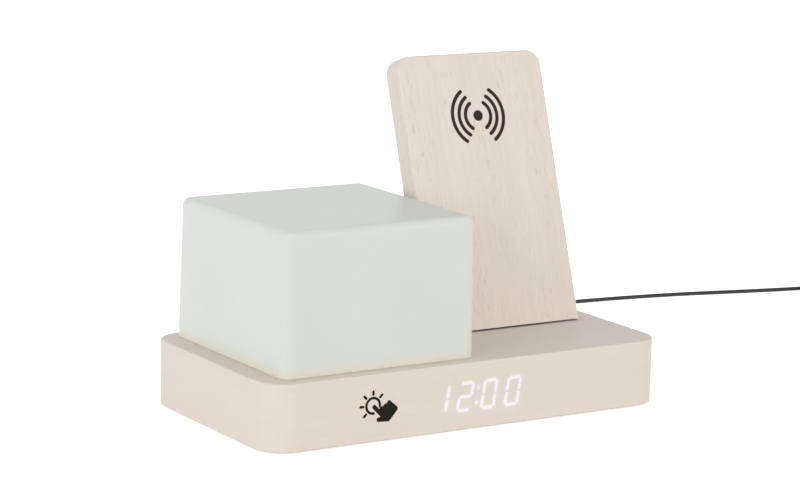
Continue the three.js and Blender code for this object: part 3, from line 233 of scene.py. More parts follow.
def new_material(name, roughness, metallic=0.0):
    """A material with its Principled shader. Returns both."""
    material = bpy.data.materials.new(name)
    material.use_nodes = True
    shader = material.node_tree.nodes["Principled BSDF"]
    shader.inputs["Roughness"].default_value = roughness
    shader.inputs["Metallic"].default_value = metallic
    return material, shader


def add_node(tree, kind, inputs=None, **settings):
    """A node of a kind, with its settings. An input is a plain value, or the output socket that feeds it."""
    node = tree.nodes.new(kind)
    for name, value in settings.items():
        setattr(node, name, value)
    for name, value in (inputs or {}).items():
        if isinstance(value, bpy.types.NodeSocket):
            tree.links.new(value, node.inputs[name])
        else:
            node.inputs[name].default_value = value
    return node


def maths(tree, operation, first, second=0.0, third=0.0):
    """The output of a Math node on two or three values or sockets."""
    return add_node(tree, "ShaderNodeMath", {0: first, 1: second, 2: third}, operation=operation).outputs[0]


def remap(tree, value, low, high, new_low=0.0, new_high=1.0):
    """The value, taken smoothly from one range to another and held at its ends."""
    ranges = {"Value": value, 1: low, 2: high, 3: new_low, 4: new_high}
    return add_node(tree, "ShaderNodeMapRange", ranges, interpolation_type="SMOOTHSTEP").outputs[0]


def noise(tree, place, scale, detail, roughness=0.5):
    """The value of a noise texture whose scale is given for each axis, in features per metre."""
    scaled = add_node(tree, "ShaderNodeVectorMath", {0: place, 1: scale}, operation="MULTIPLY").outputs[0]
    inputs = {"Vector": scaled, "Scale": 1.0, "Detail": detail, "Roughness": roughness}
    return add_node(tree, "ShaderNodeTexNoise", inputs).outputs[0]


def blend_colour(tree, factor, first, second):
    """Two colours mixed by a factor."""
    return add_node(tree, "ShaderNodeMix", {0: factor, 6: first, 7: second}, data_type="RGBA").outputs[2]


def add_bump(tree, shader, height, distance, strength):
    """A relief for the shader: the height, from 0 to 1, stands for so many metres."""
    bump = add_node(tree, "ShaderNodeBump", {"Height": height, "Distance": distance, "Strength": strength})
    tree.links.new(bump.outputs[0], shader.inputs["Normal"])


def paint(red, green, blue):
    """A colour given as it looks on a screen, 0 to 255, as the linear values that a shader takes."""
    share = np.array([red, green, blue]) / 255
    linear = np.where(share <= 0.04045, share / 12.92, ((share + 0.055) / 1.055) ** 2.4)
    return (*linear.tolist(), 1.0)


def new_group(name, inputs, outputs):
    """A shader node group. Its sockets are pairs of name and kind."""
    group = bpy.data.node_groups.new(name, "ShaderNodeTree")
    for direction, sockets in (("INPUT", inputs), ("OUTPUT", outputs)):
        for socket_name, kind in sockets:
            group.interface.new_socket(socket_name, in_out=direction, socket_type=f"NodeSocket{kind}")
    return group, group.nodes.new("NodeGroupInput"), group.nodes.new("NodeGroupOutput")


# Noise scales are features per metre along X, Y and Z. Most of a noise's values lie in its middle range.
MIDDLE_RANGE = (0.3, 0.7)
SKIN_WANDER = (70, 70, 70)
SKIN_SPECKS = (1500, 1500, 1500)
SKIN_TONES = (0.93, 1.07)
SKIN_ROUGHNESS_SHIFT = 0.05
SPECK_RANGE = (0.68, 0.76)
DUST_COLOUR = paint(190, 188, 184)


def moulding_group():
    """The fine uneven skin of a moulded piece: a tone that wanders a little, dust specks, and a low relief."""
    group, given, put_out = new_group(
        "moulded_skin",
        [("Vector", "Vector"), ("Grain per metre", "Float"), ("Colour", "Color"), ("Dust", "Float")],
        [("Colour", "Color"), ("Roughness shift", "Float"), ("Height", "Float")],
    )
    place = given.outputs["Vector"]
    broad = noise(group, place, SKIN_WANDER, 3)
    grain_scale = add_node(group, "ShaderNodeCombineXYZ", dict.fromkeys((0, 1, 2), given.outputs["Grain per metre"]))
    fine = noise(group, place, grain_scale.outputs[0], 2)
    specks = noise(group, place, SKIN_SPECKS, 1)
    tone = remap(group, broad, *MIDDLE_RANGE, *SKIN_TONES)
    toned = add_node(group, "ShaderNodeVectorMath", {0: given.outputs["Colour"], "Scale": tone}, operation="SCALE")
    dust = maths(group, "MULTIPLY", remap(group, specks, *SPECK_RANGE), given.outputs["Dust"])
    colour = blend_colour(group, dust, toned.outputs[0], DUST_COLOUR)
    shift = remap(group, broad, *MIDDLE_RANGE, -SKIN_ROUGHNESS_SHIFT, SKIN_ROUGHNESS_SHIFT)
    group.links.new(colour, put_out.inputs["Colour"])
    group.links.new(shift, put_out.inputs["Roughness shift"])
    group.links.new(fine, put_out.inputs["Height"])
    return group


MOULDED_SKIN = moulding_group()


def object_place(tree):
    """A point's place in the clock's frame, in metres."""
    return add_node(tree, "ShaderNodeTexCoord").outputs["Object"]


def moulded(name, colour, roughness, grain_per_metre, relief, dust, metallic=0.0, gloss=0.5):
    """A moulded, turned or printed surface with the shared uneven skin."""
    material, shader = new_material(name, roughness, metallic)
    shader.inputs["Specular IOR Level"].default_value = gloss
    tree = material.node_tree
    inputs = {"Vector": object_place(tree), "Grain per metre": grain_per_metre, "Colour": colour, "Dust": dust}
    skin = add_node(tree, "ShaderNodeGroup", inputs, node_tree=MOULDED_SKIN).outputs
    tree.links.new(skin["Colour"], shader.inputs["Base Color"])
    tree.links.new(maths(tree, "ADD", skin["Roughness shift"], roughness), shader.inputs["Roughness"])
    add_bump(tree, shader, skin["Height"], relief, 1.0)
    return material


def dress(piece, material):
    """The material takes the place of what the piece had."""
    piece.data.materials.clear()
    piece.data.materials.append(material)
    return piece


cord_jacket = moulded("cord_jacket", paint(20, 20, 21), 0.3, 900.0, 0.00004, 0.05)
centreline = cord_line()
cord = dress(add_skin("supply_cord", tube_rings(centreline, CORD_RADIUS, CORD_SIDES)), cord_jacket)
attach(cord, "clock")
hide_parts("cord_run", "cord_coil")


# Floor, background and light
# A plain pale floor under a wide soft light, brightest near the horizon, so that sides are lighter than tops, and
# there brighter on the camera's side. Two weak soft lamps help it. Cameras and mirrors see floor and sky as white.
FLOOR_SIZE = 12
FLOOR_ROUGHNESS = 0.8
FLOOR_COLOUR = paint(228, 226, 223)
FLOOR_SEEN_LIGHT = 0.78
HORIZON_LIGHT = 2.2
ZENITH_LIGHT = 0.6
ZENITH_START = 0.55
# The direction of the camera above, rounded. It is fixed, so the light stays when another camera looks.
BRIGHT_SIDE = (-0.527, -0.828, 0.192)
DIM_SIDE_SHARE = 0.35
SIDE_RANGE = (-0.6, 0.3)


def white_rays(tree):
    """1 for rays from the camera, from a mirror or through glass."""
    rays = add_node(tree, "ShaderNodeLightPath").outputs
    mirrored = maths(tree, "MAXIMUM", rays["Is Glossy Ray"], rays["Is Transmission Ray"])
    return maths(tree, "MAXIMUM", rays["Is Camera Ray"], mirrored)


def make_floor():
    """A matt square that glows only for the rays that see white."""
    half = FLOOR_SIZE / 2
    corners = [(-half, -half, 0), (half, -half, 0), (half, half, 0), (-half, half, 0)]
    floor = add_mesh("floor", corners, [(0, 1, 2, 3)])
    material, shader = new_material("pale_floor", FLOOR_ROUGHNESS)
    tree = material.node_tree
    shader.inputs["Base Color"].default_value = FLOOR_COLOUR
    shader.inputs["Emission Color"].default_value = (1, 1, 1, 1)
    tree.links.new(maths(tree, "MULTIPLY", white_rays(tree), FLOOR_SEEN_LIGHT), shader.inputs["Emission Strength"])
    return dress(floor, material)


def make_sky():
    """Light by height: from the horizon's, which depends on the side, to the zenith's from a set height up."""
    world = bpy.data.worlds.new("sky")
    bpy.context.scene.world = world
    world.use_nodes = True
    tree = world.node_tree
    background = tree.nodes["Background"]
    background.inputs["Color"].default_value = (1, 1, 1, 1)
    facing = add_node(tree, "ShaderNodeTexCoord").outputs["Generated"]
    height = add_node(tree, "ShaderNodeSeparateXYZ", {0: facing}).outputs[2]
    towards = add_node(tree, "ShaderNodeVectorMath", {0: facing, 1: BRIGHT_SIDE}, operation="DOT_PRODUCT")
    side_light = remap(tree, towards.outputs["Value"], *SIDE_RANGE, DIM_SIDE_SHARE, 1.0)
    horizon = maths(tree, "MULTIPLY", side_light, HORIZON_LIGHT)
    light = remap(tree, height, 0.0, ZENITH_START, horizon, ZENITH_LIGHT)
    strength = add_node(tree, "ShaderNodeMix", {0: white_rays(tree), 2: light, 3: 1.0}, data_type="FLOAT")
    tree.links.new(strength.outputs[0], background.inputs["Strength"])


def add_lamp(name, place, target, size, power, colour):
    """A soft rectangular lamp that faces a target point."""
    data = bpy.data.lights.new(name, "AREA")
    data.shape = "RECTANGLE"
    data.size, data.size_y = size
    data.energy = power
    data.color = colour
    lamp = bpy.data.objects.new(name, data)
    aim = (Vector(target) - Vector(place)).to_track_quat("-Z", "Y").to_matrix().to_4x4()
    lamp.matrix_world = Matrix.Translation(place) @ aim
    bpy.context.scene.collection.objects.link(lamp)


make_floor()
make_sky()
CLOCK_MIDDLE = (0, 0, 0.06)
LEFT_LAMP_COLOUR = (0.94, 1.0, 1.0)
RIGHT_LAMP_COLOUR = (1.0, 0.93, 0.88)
add_lamp("left_lamp", (-2.0, -0.5, 0.7), CLOCK_MIDDLE, (1.4, 1.0), 8.5, LEFT_LAMP_COLOUR)
add_lamp("right_lamp", (1.1, -1.68, 0.47), CLOCK_MIDDLE, (1.3, 0.1), 4.6, RIGHT_LAMP_COLOUR)


# Wood film
# The base and the stand are moulded shells wrapped in one printed film that looks like bleached maple: pale,
# with a fine straight grain, short darker pores in groups, and wide bands that are barely lighter or darker.
FILM_LIGHT = paint(226, 216, 206)
FILM_DARK = paint(212, 199, 186)
FILM_PORE = paint(168, 152, 128)
FILM_ROUGHNESS = 0.56
FILM_GLOSS = 0.35
FILM_RELIEF = 0.00002
FILM_SWAY = 0.006
FILM_BANDS, FILM_BAND_SHARE = (70, 4, 70), 0.34
FILM_STREAKS, FILM_STREAK_SHARE = (620, 42, 620), 0.34
FILM_HAIRS, FILM_HAIR_SHARE = (2600, 190, 2600), 0.2
FILM_MOTTLE, FILM_MOTTLE_SHARE = (140, 95, 140), 0.12
FILM_TONE_RANGE = (0.36, 0.64)
PORE_DOTS, PORE_RANGE = (1500, 170, 1500), (0.62, 0.7)
PORE_CLUSTERS, CLUSTER_RANGE = (70, 20, 70), (0.4, 0.6)
PORE_TINT = 0.32
PORE_ROUGHNESS = 0.12
HAIR_RELIEF, PORE_DEPTH = 0.35, 0.9


def film_group():
    """The printed grain, in a vector whose X lies across the grain and whose Y lies along it, in metres. The tone is
    the sum of four noises by their shares. Pores are the peaks of fine dots where a broad noise lets them be."""
    group, given, put_out = new_group(
        "wood_film_print",
        [("Vector", "Vector"), ("Pores", "Float"), ("Contrast", "Float")],
        [("Colour", "Color"), ("Height", "Float"), ("Pore", "Float")],
    )
    place = given.outputs["Vector"]
    sway = noise(group, place, (9, 7, 9), 2)
    sideways = add_node(group, "ShaderNodeCombineXYZ", {0: maths(group, "MULTIPLY", sway, FILM_SWAY)}).outputs[0]
    swayed = add_node(group, "ShaderNodeVectorMath", {0: place, 1: sideways}, operation="ADD").outputs[0]
    bands = noise(group, swayed, FILM_BANDS, 3, 0.55)
    streaks = noise(group, swayed, FILM_STREAKS, 3, 0.6)
    hairs = noise(group, swayed, FILM_HAIRS, 2, 0.6)
    mottle = noise(group, place, FILM_MOTTLE, 2)
    tone = maths(group, "MULTIPLY", streaks, FILM_STREAK_SHARE)
    for layer, share in ((bands, FILM_BAND_SHARE), (hairs, FILM_HAIR_SHARE), (mottle, FILM_MOTTLE_SHARE)):
        tone = maths(group, "MULTIPLY_ADD", layer, share, tone)
    tone = remap(group, tone, *FILM_TONE_RANGE)
    dots = noise(group, swayed, PORE_DOTS, 1, 0.4)
    clusters = remap(group, noise(group, place, PORE_CLUSTERS, 2), *CLUSTER_RANGE)
    pore = maths(group, "MULTIPLY", remap(group, dots, *PORE_RANGE), clusters)
    pore = maths(group, "MULTIPLY", pore, given.outputs["Pores"])
    darker = maths(group, "MULTIPLY", maths(group, "SUBTRACT", 1.0, tone), given.outputs["Contrast"])
    colour = blend_colour(group, darker, FILM_LIGHT, FILM_DARK)
    colour = blend_colour(group, maths(group, "MULTIPLY", pore, PORE_TINT), colour, FILM_PORE)
    relief = maths(group, "MULTIPLY_ADD", hairs, HAIR_RELIEF, maths(group, "MULTIPLY", pore, -PORE_DEPTH))
    group.links.new(colour, put_out.inputs["Colour"])
    group.links.new(relief, put_out.inputs["Height"])
    group.links.new(pore, put_out.inputs["Pore"])
    return group


FILM_PRINT = film_group()


def film_place(tree):
    """The film's own map: how far along the strip and how far across it, in metres, turned so that the grain
    lies along the strip."""
    mapped = add_node(tree, "ShaderNodeUVMap", uv_map="film").outputs[0]
    split = add_node(tree, "ShaderNodeSeparateXYZ", {0: mapped}).outputs
    return add_node(tree, "ShaderNodeCombineXYZ", {0: split[1], 1: split[0]}).outputs[0]


def film_material(name, pores, contrast):
    """The film on one piece, and its shader."""
    material, shader = new_material(name, FILM_ROUGHNESS)
    tree = material.node_tree
    shader.inputs["Specular IOR Level"].default_value = FILM_GLOSS
    inputs = {"Vector": film_place(tree), "Pores": pores, "Contrast": contrast}
    printed = add_node(tree, "ShaderNodeGroup", inputs, node_tree=FILM_PRINT).outputs
    rough = maths(tree, "MULTIPLY_ADD", printed["Pore"], PORE_ROUGHNESS, FILM_ROUGHNESS)
    tree.links.new(printed["Colour"], shader.inputs["Base Color"])
    tree.links.new(rough, shader.inputs["Roughness"])
    add_bump(tree, shader, printed["Height"], FILM_RELIEF, 0.6)
    return material, shader


# Base housing
# A low hollow moulding with rounded corners, open below and wrapped in the film. Its roof has the lamp's square
# opening and a slot for the stand's bracket, and its back has the opening for the rear panel.
def middle_and_half(low, high, axes="xy"):
    """The middle of a box and half its size, along two of its axes."""
    ends = [(getattr(low, axis), getattr(high, axis)) for axis in axes]
    return tuple((start + end) / 2 for start, end in ends), tuple((end - start) / 2 for start, end in ends)


base_low, base_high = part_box("base_housing")
_, BASE_HALF = middle_and_half(base_low, base_high)
BASE_PORES, BASE_CONTRAST = 0.1, 0.28
BASE_RADIUS = 0.0136
BASE_EDGE = 0.0007
BASE_WALL = 0.0032
BASE_ROOF = 0.003
CORNER_STEPS = 20
EDGE_STEPS = 5
SHOULDER = 0.0004
LEAST_RADIUS = 0.0002


def rounded_ring(half_x, half_y, radius, steps=CORNER_STEPS):
    """Points of a rounded rectangle, anticlockwise: four quarter circles, each with one point a little way out on
    the straight at either end, which keeps the flat sides flat under smooth shading."""
    turn = np.linspace(0, math.pi / 2, steps + 1)
    arc = np.stack([np.cos(turn), np.sin(turn)], axis=1) * radius
    reach = min(SHOULDER, half_x - radius, half_y - radius)
    arc = np.concatenate([[[radius, -reach]], arc, [[-reach, radius]]])
    ring = []
    for quarter, (side_x, side_y) in enumerate(((1, 1), (-1, 1), (-1, -1), (1, -1))):
        angle = quarter * math.pi / 2
        turned = arc @ np.array([[math.cos(angle), math.sin(angle)], [-math.sin(angle), math.cos(angle)]])
        ring.append(turned + [side_x * (half_x - radius), side_y * (half_y - radius)])
    return np.concatenate(ring)


def box_ring(centre, half, radius, level, inset=0.0, steps=CORNER_STEPS):
    """A rounded rectangle at a level, drawn in by an inset."""
    ring = rounded_ring(half[0] - inset, half[1] - inset, max(radius - inset, LEAST_RADIUS), steps)
    return np.column_stack([ring + centre, np.full(len(ring), level)])


def quarter_round(edge, steps=EDGE_STEPS):
    """Pairs of inset and drop on a quarter circle, from the side (inset 0) to the top (drop 0), with a shoulder."""
    turn = np.linspace(0, math.pi / 2, steps + 1)
    return [(0, edge + SHOULDER), *zip(edge * (1 - np.cos(turn)), edge * (1 - np.sin(turn))), (edge + SHOULDER, 0)]


def prism(name, outline, direction, low, high):
    """A closed prism with a flat outline, along x, y or z, between two places on that axis."""
    outline = np.asarray(outline, float)
    axis = "xyz".index(direction)
    rings = [np.insert(outline, axis, place, axis=1) for place in (low, high)]
    return add_skin(name, rings)


def shape_solid(piece, joined, cut):
    """The piece with other solids joined to it, and then without what its cutters fill. Both are used up."""
    for operation, others in (("UNION", joined), ("DIFFERENCE", cut)):
        for other in others:
            modifier = piece.modifiers.new("shape", "BOOLEAN")
            modifier.operation = operation
            modifier.solver = "EXACT"
            modifier.object = other
    bpy.context.view_layer.update()
    shaped = bpy.data.meshes.new_from_object(piece.evaluated_get(bpy.context.evaluated_depsgraph_get()))
    piece.modifiers.clear()
    piece.data = shaped
    for other in (*joined, *cut):
        bpy.data.objects.remove(other)
    shaped.shade_smooth()
    shaped.set_sharp_from_angle(angle=SMOOTH_ANGLE)
    return piece


# A face looks along an axis when its normal's share along that axis is more than this.
FACING_SHARE = 0.7


def read_all(items, field, width=1, kind=float):
    """One field of all of a mesh's items, as an array with a row for each item."""
    values = np.zeros(len(items) * width, kind)
    items.foreach_get(field, values)
    return values.reshape(-1, width) if width > 1 else values


def corner_points(mesh):
    """The place of each corner of each face."""
    return read_all(mesh.vertices, "co", 3)[read_all(mesh.loops, "vertex_index", kind=np.int32)]


def write_film_map(mesh, u, v):
    """Keeps the film's map: u and v for each corner of each face."""
    mesh.uv_layers.new(name="film").data.foreach_set("uv", np.stack([u, v], axis=1).ravel())


def film_map(piece, half, radius):
    """Gives the film's map to a box with rounded corners. On its sides u runs anticlockwise round the outline, from
    the start of the back left corner, and v is the height. On its top and bottom they are x and y."""
    mesh = piece.data
    points = corner_points(mesh)
    sizes = read_all(mesh.polygons, "loop_total", kind=np.int32)
    normals = read_all(mesh.polygons, "normal", 3)
    centres = read_all(mesh.polygons, "center", 3)
    flat_x, flat_y, bend = half[0] - radius, half[1] - radius, radius * math.pi / 2

    def round_outline(p):
        """How far round the outline a point lies, by which side or corner it is beside."""
        x, y = p[:, 0], p[:, 1]
        past_x, past_y = np.abs(x) > flat_x, np.abs(y) > flat_y
        corner = np.where(x < 0, np.where(y > 0, 0, 1), np.where(y < 0, 2, 3))
        starts = np.cumsum([0, bend + 2 * flat_y, bend + 2 * flat_x, bend + 2 * flat_y])
        turn = np.arctan2(y - np.sign(y) * flat_y, x - np.sign(x) * flat_x)
        turned = (turn - (math.pi / 2 + corner * math.pi / 2)) % TURN
        on_corner = starts[corner] + radius * np.where(turned > math.pi, 0, turned)
        on_left = starts[0] + bend + flat_y - y
        on_front = starts[1] + bend + x + flat_x
        on_right = starts[2] + bend + y + flat_y
        on_back = starts[3] + bend + flat_x - x
        on_x_side = np.where(x < 0, on_left, on_right)
        on_y_side = np.where(y < 0, on_front, on_back)
        return np.where(past_x & past_y, on_corner, np.where(past_x, on_x_side, on_y_side))

    around = round_outline(points)
    middle = np.repeat(round_outline(centres), sizes)
    length = 4 * (flat_x + flat_y + bend)
    around += length * np.round((middle - around) / length)
    upright = np.repeat(np.abs(normals[:, 2]) < FACING_SHARE, sizes)
    u = np.where(upright, around, points[:, 0])
    v = np.where(upright, points[:, 2], points[:, 1])
    write_film_map(mesh, u, v)


def make_base():
    """Rounded rectangles carried down the inside, out under the rim, up the outside and in over the roof."""
    bottom, top = base_low.z, base_high.z
    outside = [(bottom + drop, inset) for inset, drop in reversed(quarter_round(BASE_EDGE))]
    outside += [(top - drop, inset) for inset, drop in quarter_round(BASE_EDGE)]
    outer = [box_ring((0, 0), BASE_HALF, BASE_RADIUS, level, inset) for level, inset in outside]
    inner = [box_ring((0, 0), BASE_HALF, BASE_RADIUS, level, BASE_WALL) for level in (top - BASE_ROOF, bottom)]
    return add_skin("base_film", [*inner, *outer])


def circle(radius, centre=(0, 0), sides=40):
    """Points of a circle, anticlockwise."""
    turn = np.linspace(0, TURN, sides, endpoint=False)
    return np.stack([centre[0] + radius * np.cos(turn), centre[1] + radius * np.sin(turn)], axis=1)


def rectangle(low, high):
    """The four corners of an upright rectangle."""
    return np.array([(low[0], low[1]), (high[0], low[1]), (high[0], high[1]), (low[0], high[1])], float)


POST_RADIUS = 0.0032
POST_INSET = 0.0105
POST_HOLE_RADIUS = 0.0014
POST_FOOT = 0.0038
POST_HOLE_TOP = 0.0128
LAMP_OPENING = 0.0784
LAMP_OPENING_RADIUS = 0.005
BRACKET_SLOT = ((0.03475, -0.00302), (0.06535, 0.00164))
LEAD_HOLE = (0.07505, 0.00159)
LEAD_HOLE_RADIUS = 0.0022
REAR_OPENING_RADIUS = 0.0023
FIT = 0.0003
OVERRUN = 0.001
shade_low, shade_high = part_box("lamp_shade")
SHADE_CENTRE, SHADE_HALF = middle_and_half(shade_low, shade_high)
panel_low, panel_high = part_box("rear_panel")
PANEL_LIP = 0.002
roof_under = base_high.z - BASE_ROOF
post_places = [
    (side_x * (BASE_HALF[0] - POST_INSET), side_y * (BASE_HALF[1] - POST_INSET))
    for side_x in (-1, 1)
    for side_y in (-1, 1)
]
panel_centre, panel_half = middle_and_half(panel_low, panel_high, "xz")
opening_half = [half - PANEL_LIP + FIT for half in panel_half]
rear_opening = rounded_ring(*opening_half, REAR_OPENING_RADIUS, 8) + panel_centre
lamp_opening = rounded_ring(LAMP_OPENING / 2, LAMP_OPENING / 2, LAMP_OPENING_RADIUS) + SHADE_CENTRE
through_roof = ("z", roof_under - OVERRUN, base_high.z + OVERRUN)
posts = [prism("post", circle(POST_RADIUS, at), "z", POST_FOOT, roof_under + OVERRUN) for at in post_places]
holes = [prism("hole", circle(POST_HOLE_RADIUS, at), "z", 0, POST_HOLE_TOP) for at in post_places]
base = shape_solid(
    make_base(),
    posts,
    [
        *holes,
        prism("lamp_opening", lamp_opening, *through_roof),
        prism("slot", rectangle(*BRACKET_SLOT), *through_roof),
        prism("lead_hole", circle(LEAD_HOLE_RADIUS, LEAD_HOLE), *through_roof),
        prism("rear_opening", rear_opening, "y", BASE_HALF[1] - BASE_WALL - OVERRUN, BASE_HALF[1] + OVERRUN),
    ],
)
film_map(base, BASE_HALF, BASE_RADIUS)
dress(base, film_material("base_film", BASE_PORES, BASE_CONTRAST)[0])
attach(base, "clock")
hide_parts("base_housing")


# Clock display
# White LEDs stand behind a block with a slot for each bar of four digits, and behind a thinned stretch of the
# front wall. The film over them is whole: the lit bars show through it, blurred at their edges.
SHOWN_TIME = "12:00"
DISPLAY_X = 0.0012
DIGIT_PITCH = 0.0121
BAR_REACH = (0.00305, 0.00585)
BAR_WIDTH = 0.00142
BAR_GAP = 0.00062
DIGIT_SLANT = math.radians(9)
COLON_RADIUS = 0.00075
COLON_SPREAD = 0.0062
WINDOW_HALF = (0.028, 0.0105)
WINDOW_GRID = 0.0002
WINDOW_PROUD = 0.00003
WINDOW_SINK = 0.0004
GLOW_BLUR = 0.00014
HALO_REACH = 0.0011
HALO_SHARE = 0.06
GLOW_COLOUR = paint(200, 196, 247)
GLOW_STRENGTH = 0.38
# Each bar is where it starts and ends, as shares of the digit's half width and half height.
BAR_SHARES = {
    "top": ((-1, 1), (1, 1)),
    "middle": ((-1, 0), (1, 0)),
    "bottom": ((-1, -1), (1, -1)),
    "upper_left": ((-1, 0), (-1, 1)),
    "upper_right": ((1, 0), (1, 1)),
    "lower_left": ((-1, -1), (-1, 0)),
    "lower_right": ((1, -1), (1, 0)),
}
LIT_BARS = {
    "0": ["top", "bottom", "upper_left", "upper_right", "lower_left", "lower_right"],
    "1": ["upper_right", "lower_right"],
    "2": ["top", "middle", "bottom", "upper_right", "lower_left"],
}
display_z = (base_low.z + base_high.z) / 2
front_y = base_low.y


def lit_lines():
    """The middle lines of the lit bars with half their width, each from (x, z) to (x, z), and the colon's dots."""
    lines = []
    digits = SHOWN_TIME.replace(":", "")
    for index, digit in enumerate(digits):
        centre = DISPLAY_X + (index - (len(digits) - 1) / 2) * DIGIT_PITCH
        for bar in LIT_BARS[digit]:
            start, end = (np.array(share) * BAR_REACH for share in BAR_SHARES[bar])
            inwards = (end - start) / np.linalg.norm(end - start) * (BAR_GAP + BAR_WIDTH) / 2
            ends = np.array([start + inwards, end - inwards])
            ends[:, 0] += centre + ends[:, 1] * math.tan(DIGIT_SLANT)
            lines.append((ends + [0, display_z], BAR_WIDTH / 2))
    for side in (-1, 1):
        z = side * COLON_SPREAD / 2
        dot = np.array([DISPLAY_X + z * math.tan(DIGIT_SLANT), display_z + z])
        lines.append((np.array([dot, dot + [0, COLON_RADIUS / 100]]), COLON_RADIUS))
    return lines


def glow_at(x, z):
    """How strongly the display glows: 1 within a bar, falling over its edge along a logistic curve, and a weak halo
    that falls with the square of the distance."""
    place = np.stack([x, z], axis=-1)
    glow, halo = np.zeros(x.shape), np.zeros(x.shape)
    for (start, end), half_width in lit_lines():
        along = end - start
        share = np.clip(((place - start) @ along) / (along @ along), 0, 1)
        distance = np.linalg.norm(place - start - share[..., None] * along, axis=-1) - half_width
        glow = np.maximum(glow, 1 / (1 + np.exp(np.clip(distance / GLOW_BLUR, -30, 30))))
        halo = np.maximum(halo, np.exp(-((np.maximum(distance, 0) / HALO_REACH) ** 2)))
    return np.clip(glow + HALO_SHARE * halo * (1 - glow), 0, 1)


def make_window():
    """A thin slab whose front is a fine grid with the glow at each of its points."""
    xs, zs = (np.linspace(-half, half, int(2 * half / WINDOW_GRID) + 1) for half in WINDOW_HALF)
    x, z = np.meshgrid(xs + DISPLAY_X, zs + display_z)
    front = np.stack([x, np.full(x.shape, front_y - WINDOW_PROUD), z], axis=-1).reshape(-1, 3)
    rows, columns = x.shape
    row, column = np.meshgrid(np.arange(rows - 1), np.arange(columns - 1), indexing="ij")
    corner = (row * columns + column).ravel()
    faces = np.stack([corner, corner + 1, corner + columns + 1, corner + columns], axis=1).tolist()
    last = (rows - 1) * columns
    rim = [*range(columns), *range(2 * columns - 1, rows * columns, columns)]
    rim += [*range(rows * columns - 2, last - 1, -1), *range(last - columns, 0, -columns)]
    back = front[rim] + [0, WINDOW_PROUD + WINDOW_SINK, 0]
    behind = len(front) + np.arange(len(rim))
    faces += np.stack([rim, behind, np.roll(behind, -1), np.roll(rim, -1)], axis=1).tolist()
    faces.append(behind.tolist())
    window = add_mesh("display_window", np.concatenate([front, back]), faces)
    glow = window.data.attributes.new("glow", "FLOAT", "POINT")
    strength = np.concatenate([glow_at(front[:, 0], front[:, 2]), np.zeros(len(rim))])
    glow.data.foreach_set("value", strength)
    return window


window = make_window()
film_map(window, BASE_HALF, BASE_RADIUS)
window_film, window_shader = film_material("window_film", BASE_PORES, BASE_CONTRAST)
window_tree = window_film.node_tree
window_glow = add_node(window_tree, "ShaderNodeAttribute", attribute_name="glow").outputs["Fac"]
window_light = blend_colour(window_tree, window_glow, (0, 0, 0, 1), GLOW_COLOUR)
window_tree.links.new(window_light, window_shader.inputs["Emission Color"])
window_shader.inputs["Emission Strength"].default_value = GLOW_STRENGTH
dress(window, window_film)
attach(window, "clock")


# Touch mark
# The lamp is switched by a touch on the front. A pictogram is printed there in dark ink: a hand that points at a
# ring with short rays. It is generic, and drawn from arcs and pen lines.
INK_PROUD = 0.00004
INK_SINK = 0.0003
INK_GLOSS = 0.15
MARK_PLACE = (-0.0507, 0.0165)
MARK_RING_RADIUS = 0.0033
MARK_PEN = 0.00112
MARK_RING_ENDS = (-10, 276)
# Rays: how far from the ring's centre each starts and ends, and its angle.
MARK_RAYS = [((0.0048, 0.0061), angle) for angle in (45, 90, 135, 180, 225)]
# The hand points up in its own plane, its fingertip at the origin. Each corner is a place and its radius, in mm.
HAND_TURN = math.radians(45)
HAND_CORNERS = [
    ((-0.95, 0.1), 0.93),
    ((-0.95, -6.6), 0.3),
    ((-2.3, -5.1), 0.85),
    ((-3.8, -6.3), 0.85),
    ((0.2, -10.9), 1.0),
    ((7.3, -10.5), 1.2),
    ((6.8, -4.1), 0.75),
    ((4.75, -4.3), 0.6),
    ((4.65, -4.9), 0.1),
    ((4.55, -3.8), 0.6),
    ((2.9, -3.8), 0.6),
    ((2.8, -4.5), 0.1),
    ((2.7, -3.3), 0.6),
    ((0.95, -3.3), 0.1),
    ((0.95, 0.1), 0.93),
]
MM = 0.001


def arc(centre, radius, start, end, steps=32):
    """Points on a circle from one angle to another, in degrees."""
    turn = np.radians(np.linspace(start, end, steps + 1))
    return np.stack([centre[0] + radius * np.cos(turn), centre[1] + radius * np.sin(turn)], axis=1)


def pen_line(points, width):
    """The outline that a round pen leaves along a line: the line moved half a width to either side, with a half
    circle round each end."""
    points = np.asarray(points, float)
    along = np.gradient(points, axis=0)
    along /= np.linalg.norm(along, axis=1)[:, None]
    side = np.stack([-along[:, 1], along[:, 0]], axis=1) * width / 2
    facing = np.degrees(np.arctan2(along[:, 1], along[:, 0]))
    end_cap = arc(points[-1], width / 2, facing[-1] - 90, facing[-1] + 90, 12)[1:-1]
    start_cap = arc(points[0], width / 2, facing[0] + 90, facing[0] + 270, 12)[1:-1]
    return np.concatenate([points - side, end_cap, (points + side)[::-1], start_cap])


def filleted(corners, steps=8):
    """A closed outline with each corner rounded: the arc touches both sides, its centre on the corner's bisector."""
    places = np.array([place for place, _ in corners], float)
    outline = []
    for index, (_, radius) in enumerate(corners):
        here = places[index]
        back, ahead = places[index - 1] - here, places[(index + 1) % len(places)] - here
        back /= np.linalg.norm(back)
        ahead /= np.linalg.norm(ahead)
        half = math.acos(np.clip(back @ ahead, -1, 1)) / 2
        bisector = (back + ahead) / np.linalg.norm(back + ahead)
        centre = here + bisector * radius / math.sin(half)
        first, last = here + back * radius / math.tan(half), here + ahead * radius / math.tan(half)
        angles = [math.atan2(*(point - centre)[::-1]) for point in (first, last)]
        turn = (angles[1] - angles[0] + math.pi) % TURN - math.pi
        outline.append(arc(centre, radius, *np.degrees([angles[0], angles[0] + turn]), steps))
    return np.concatenate(outline)


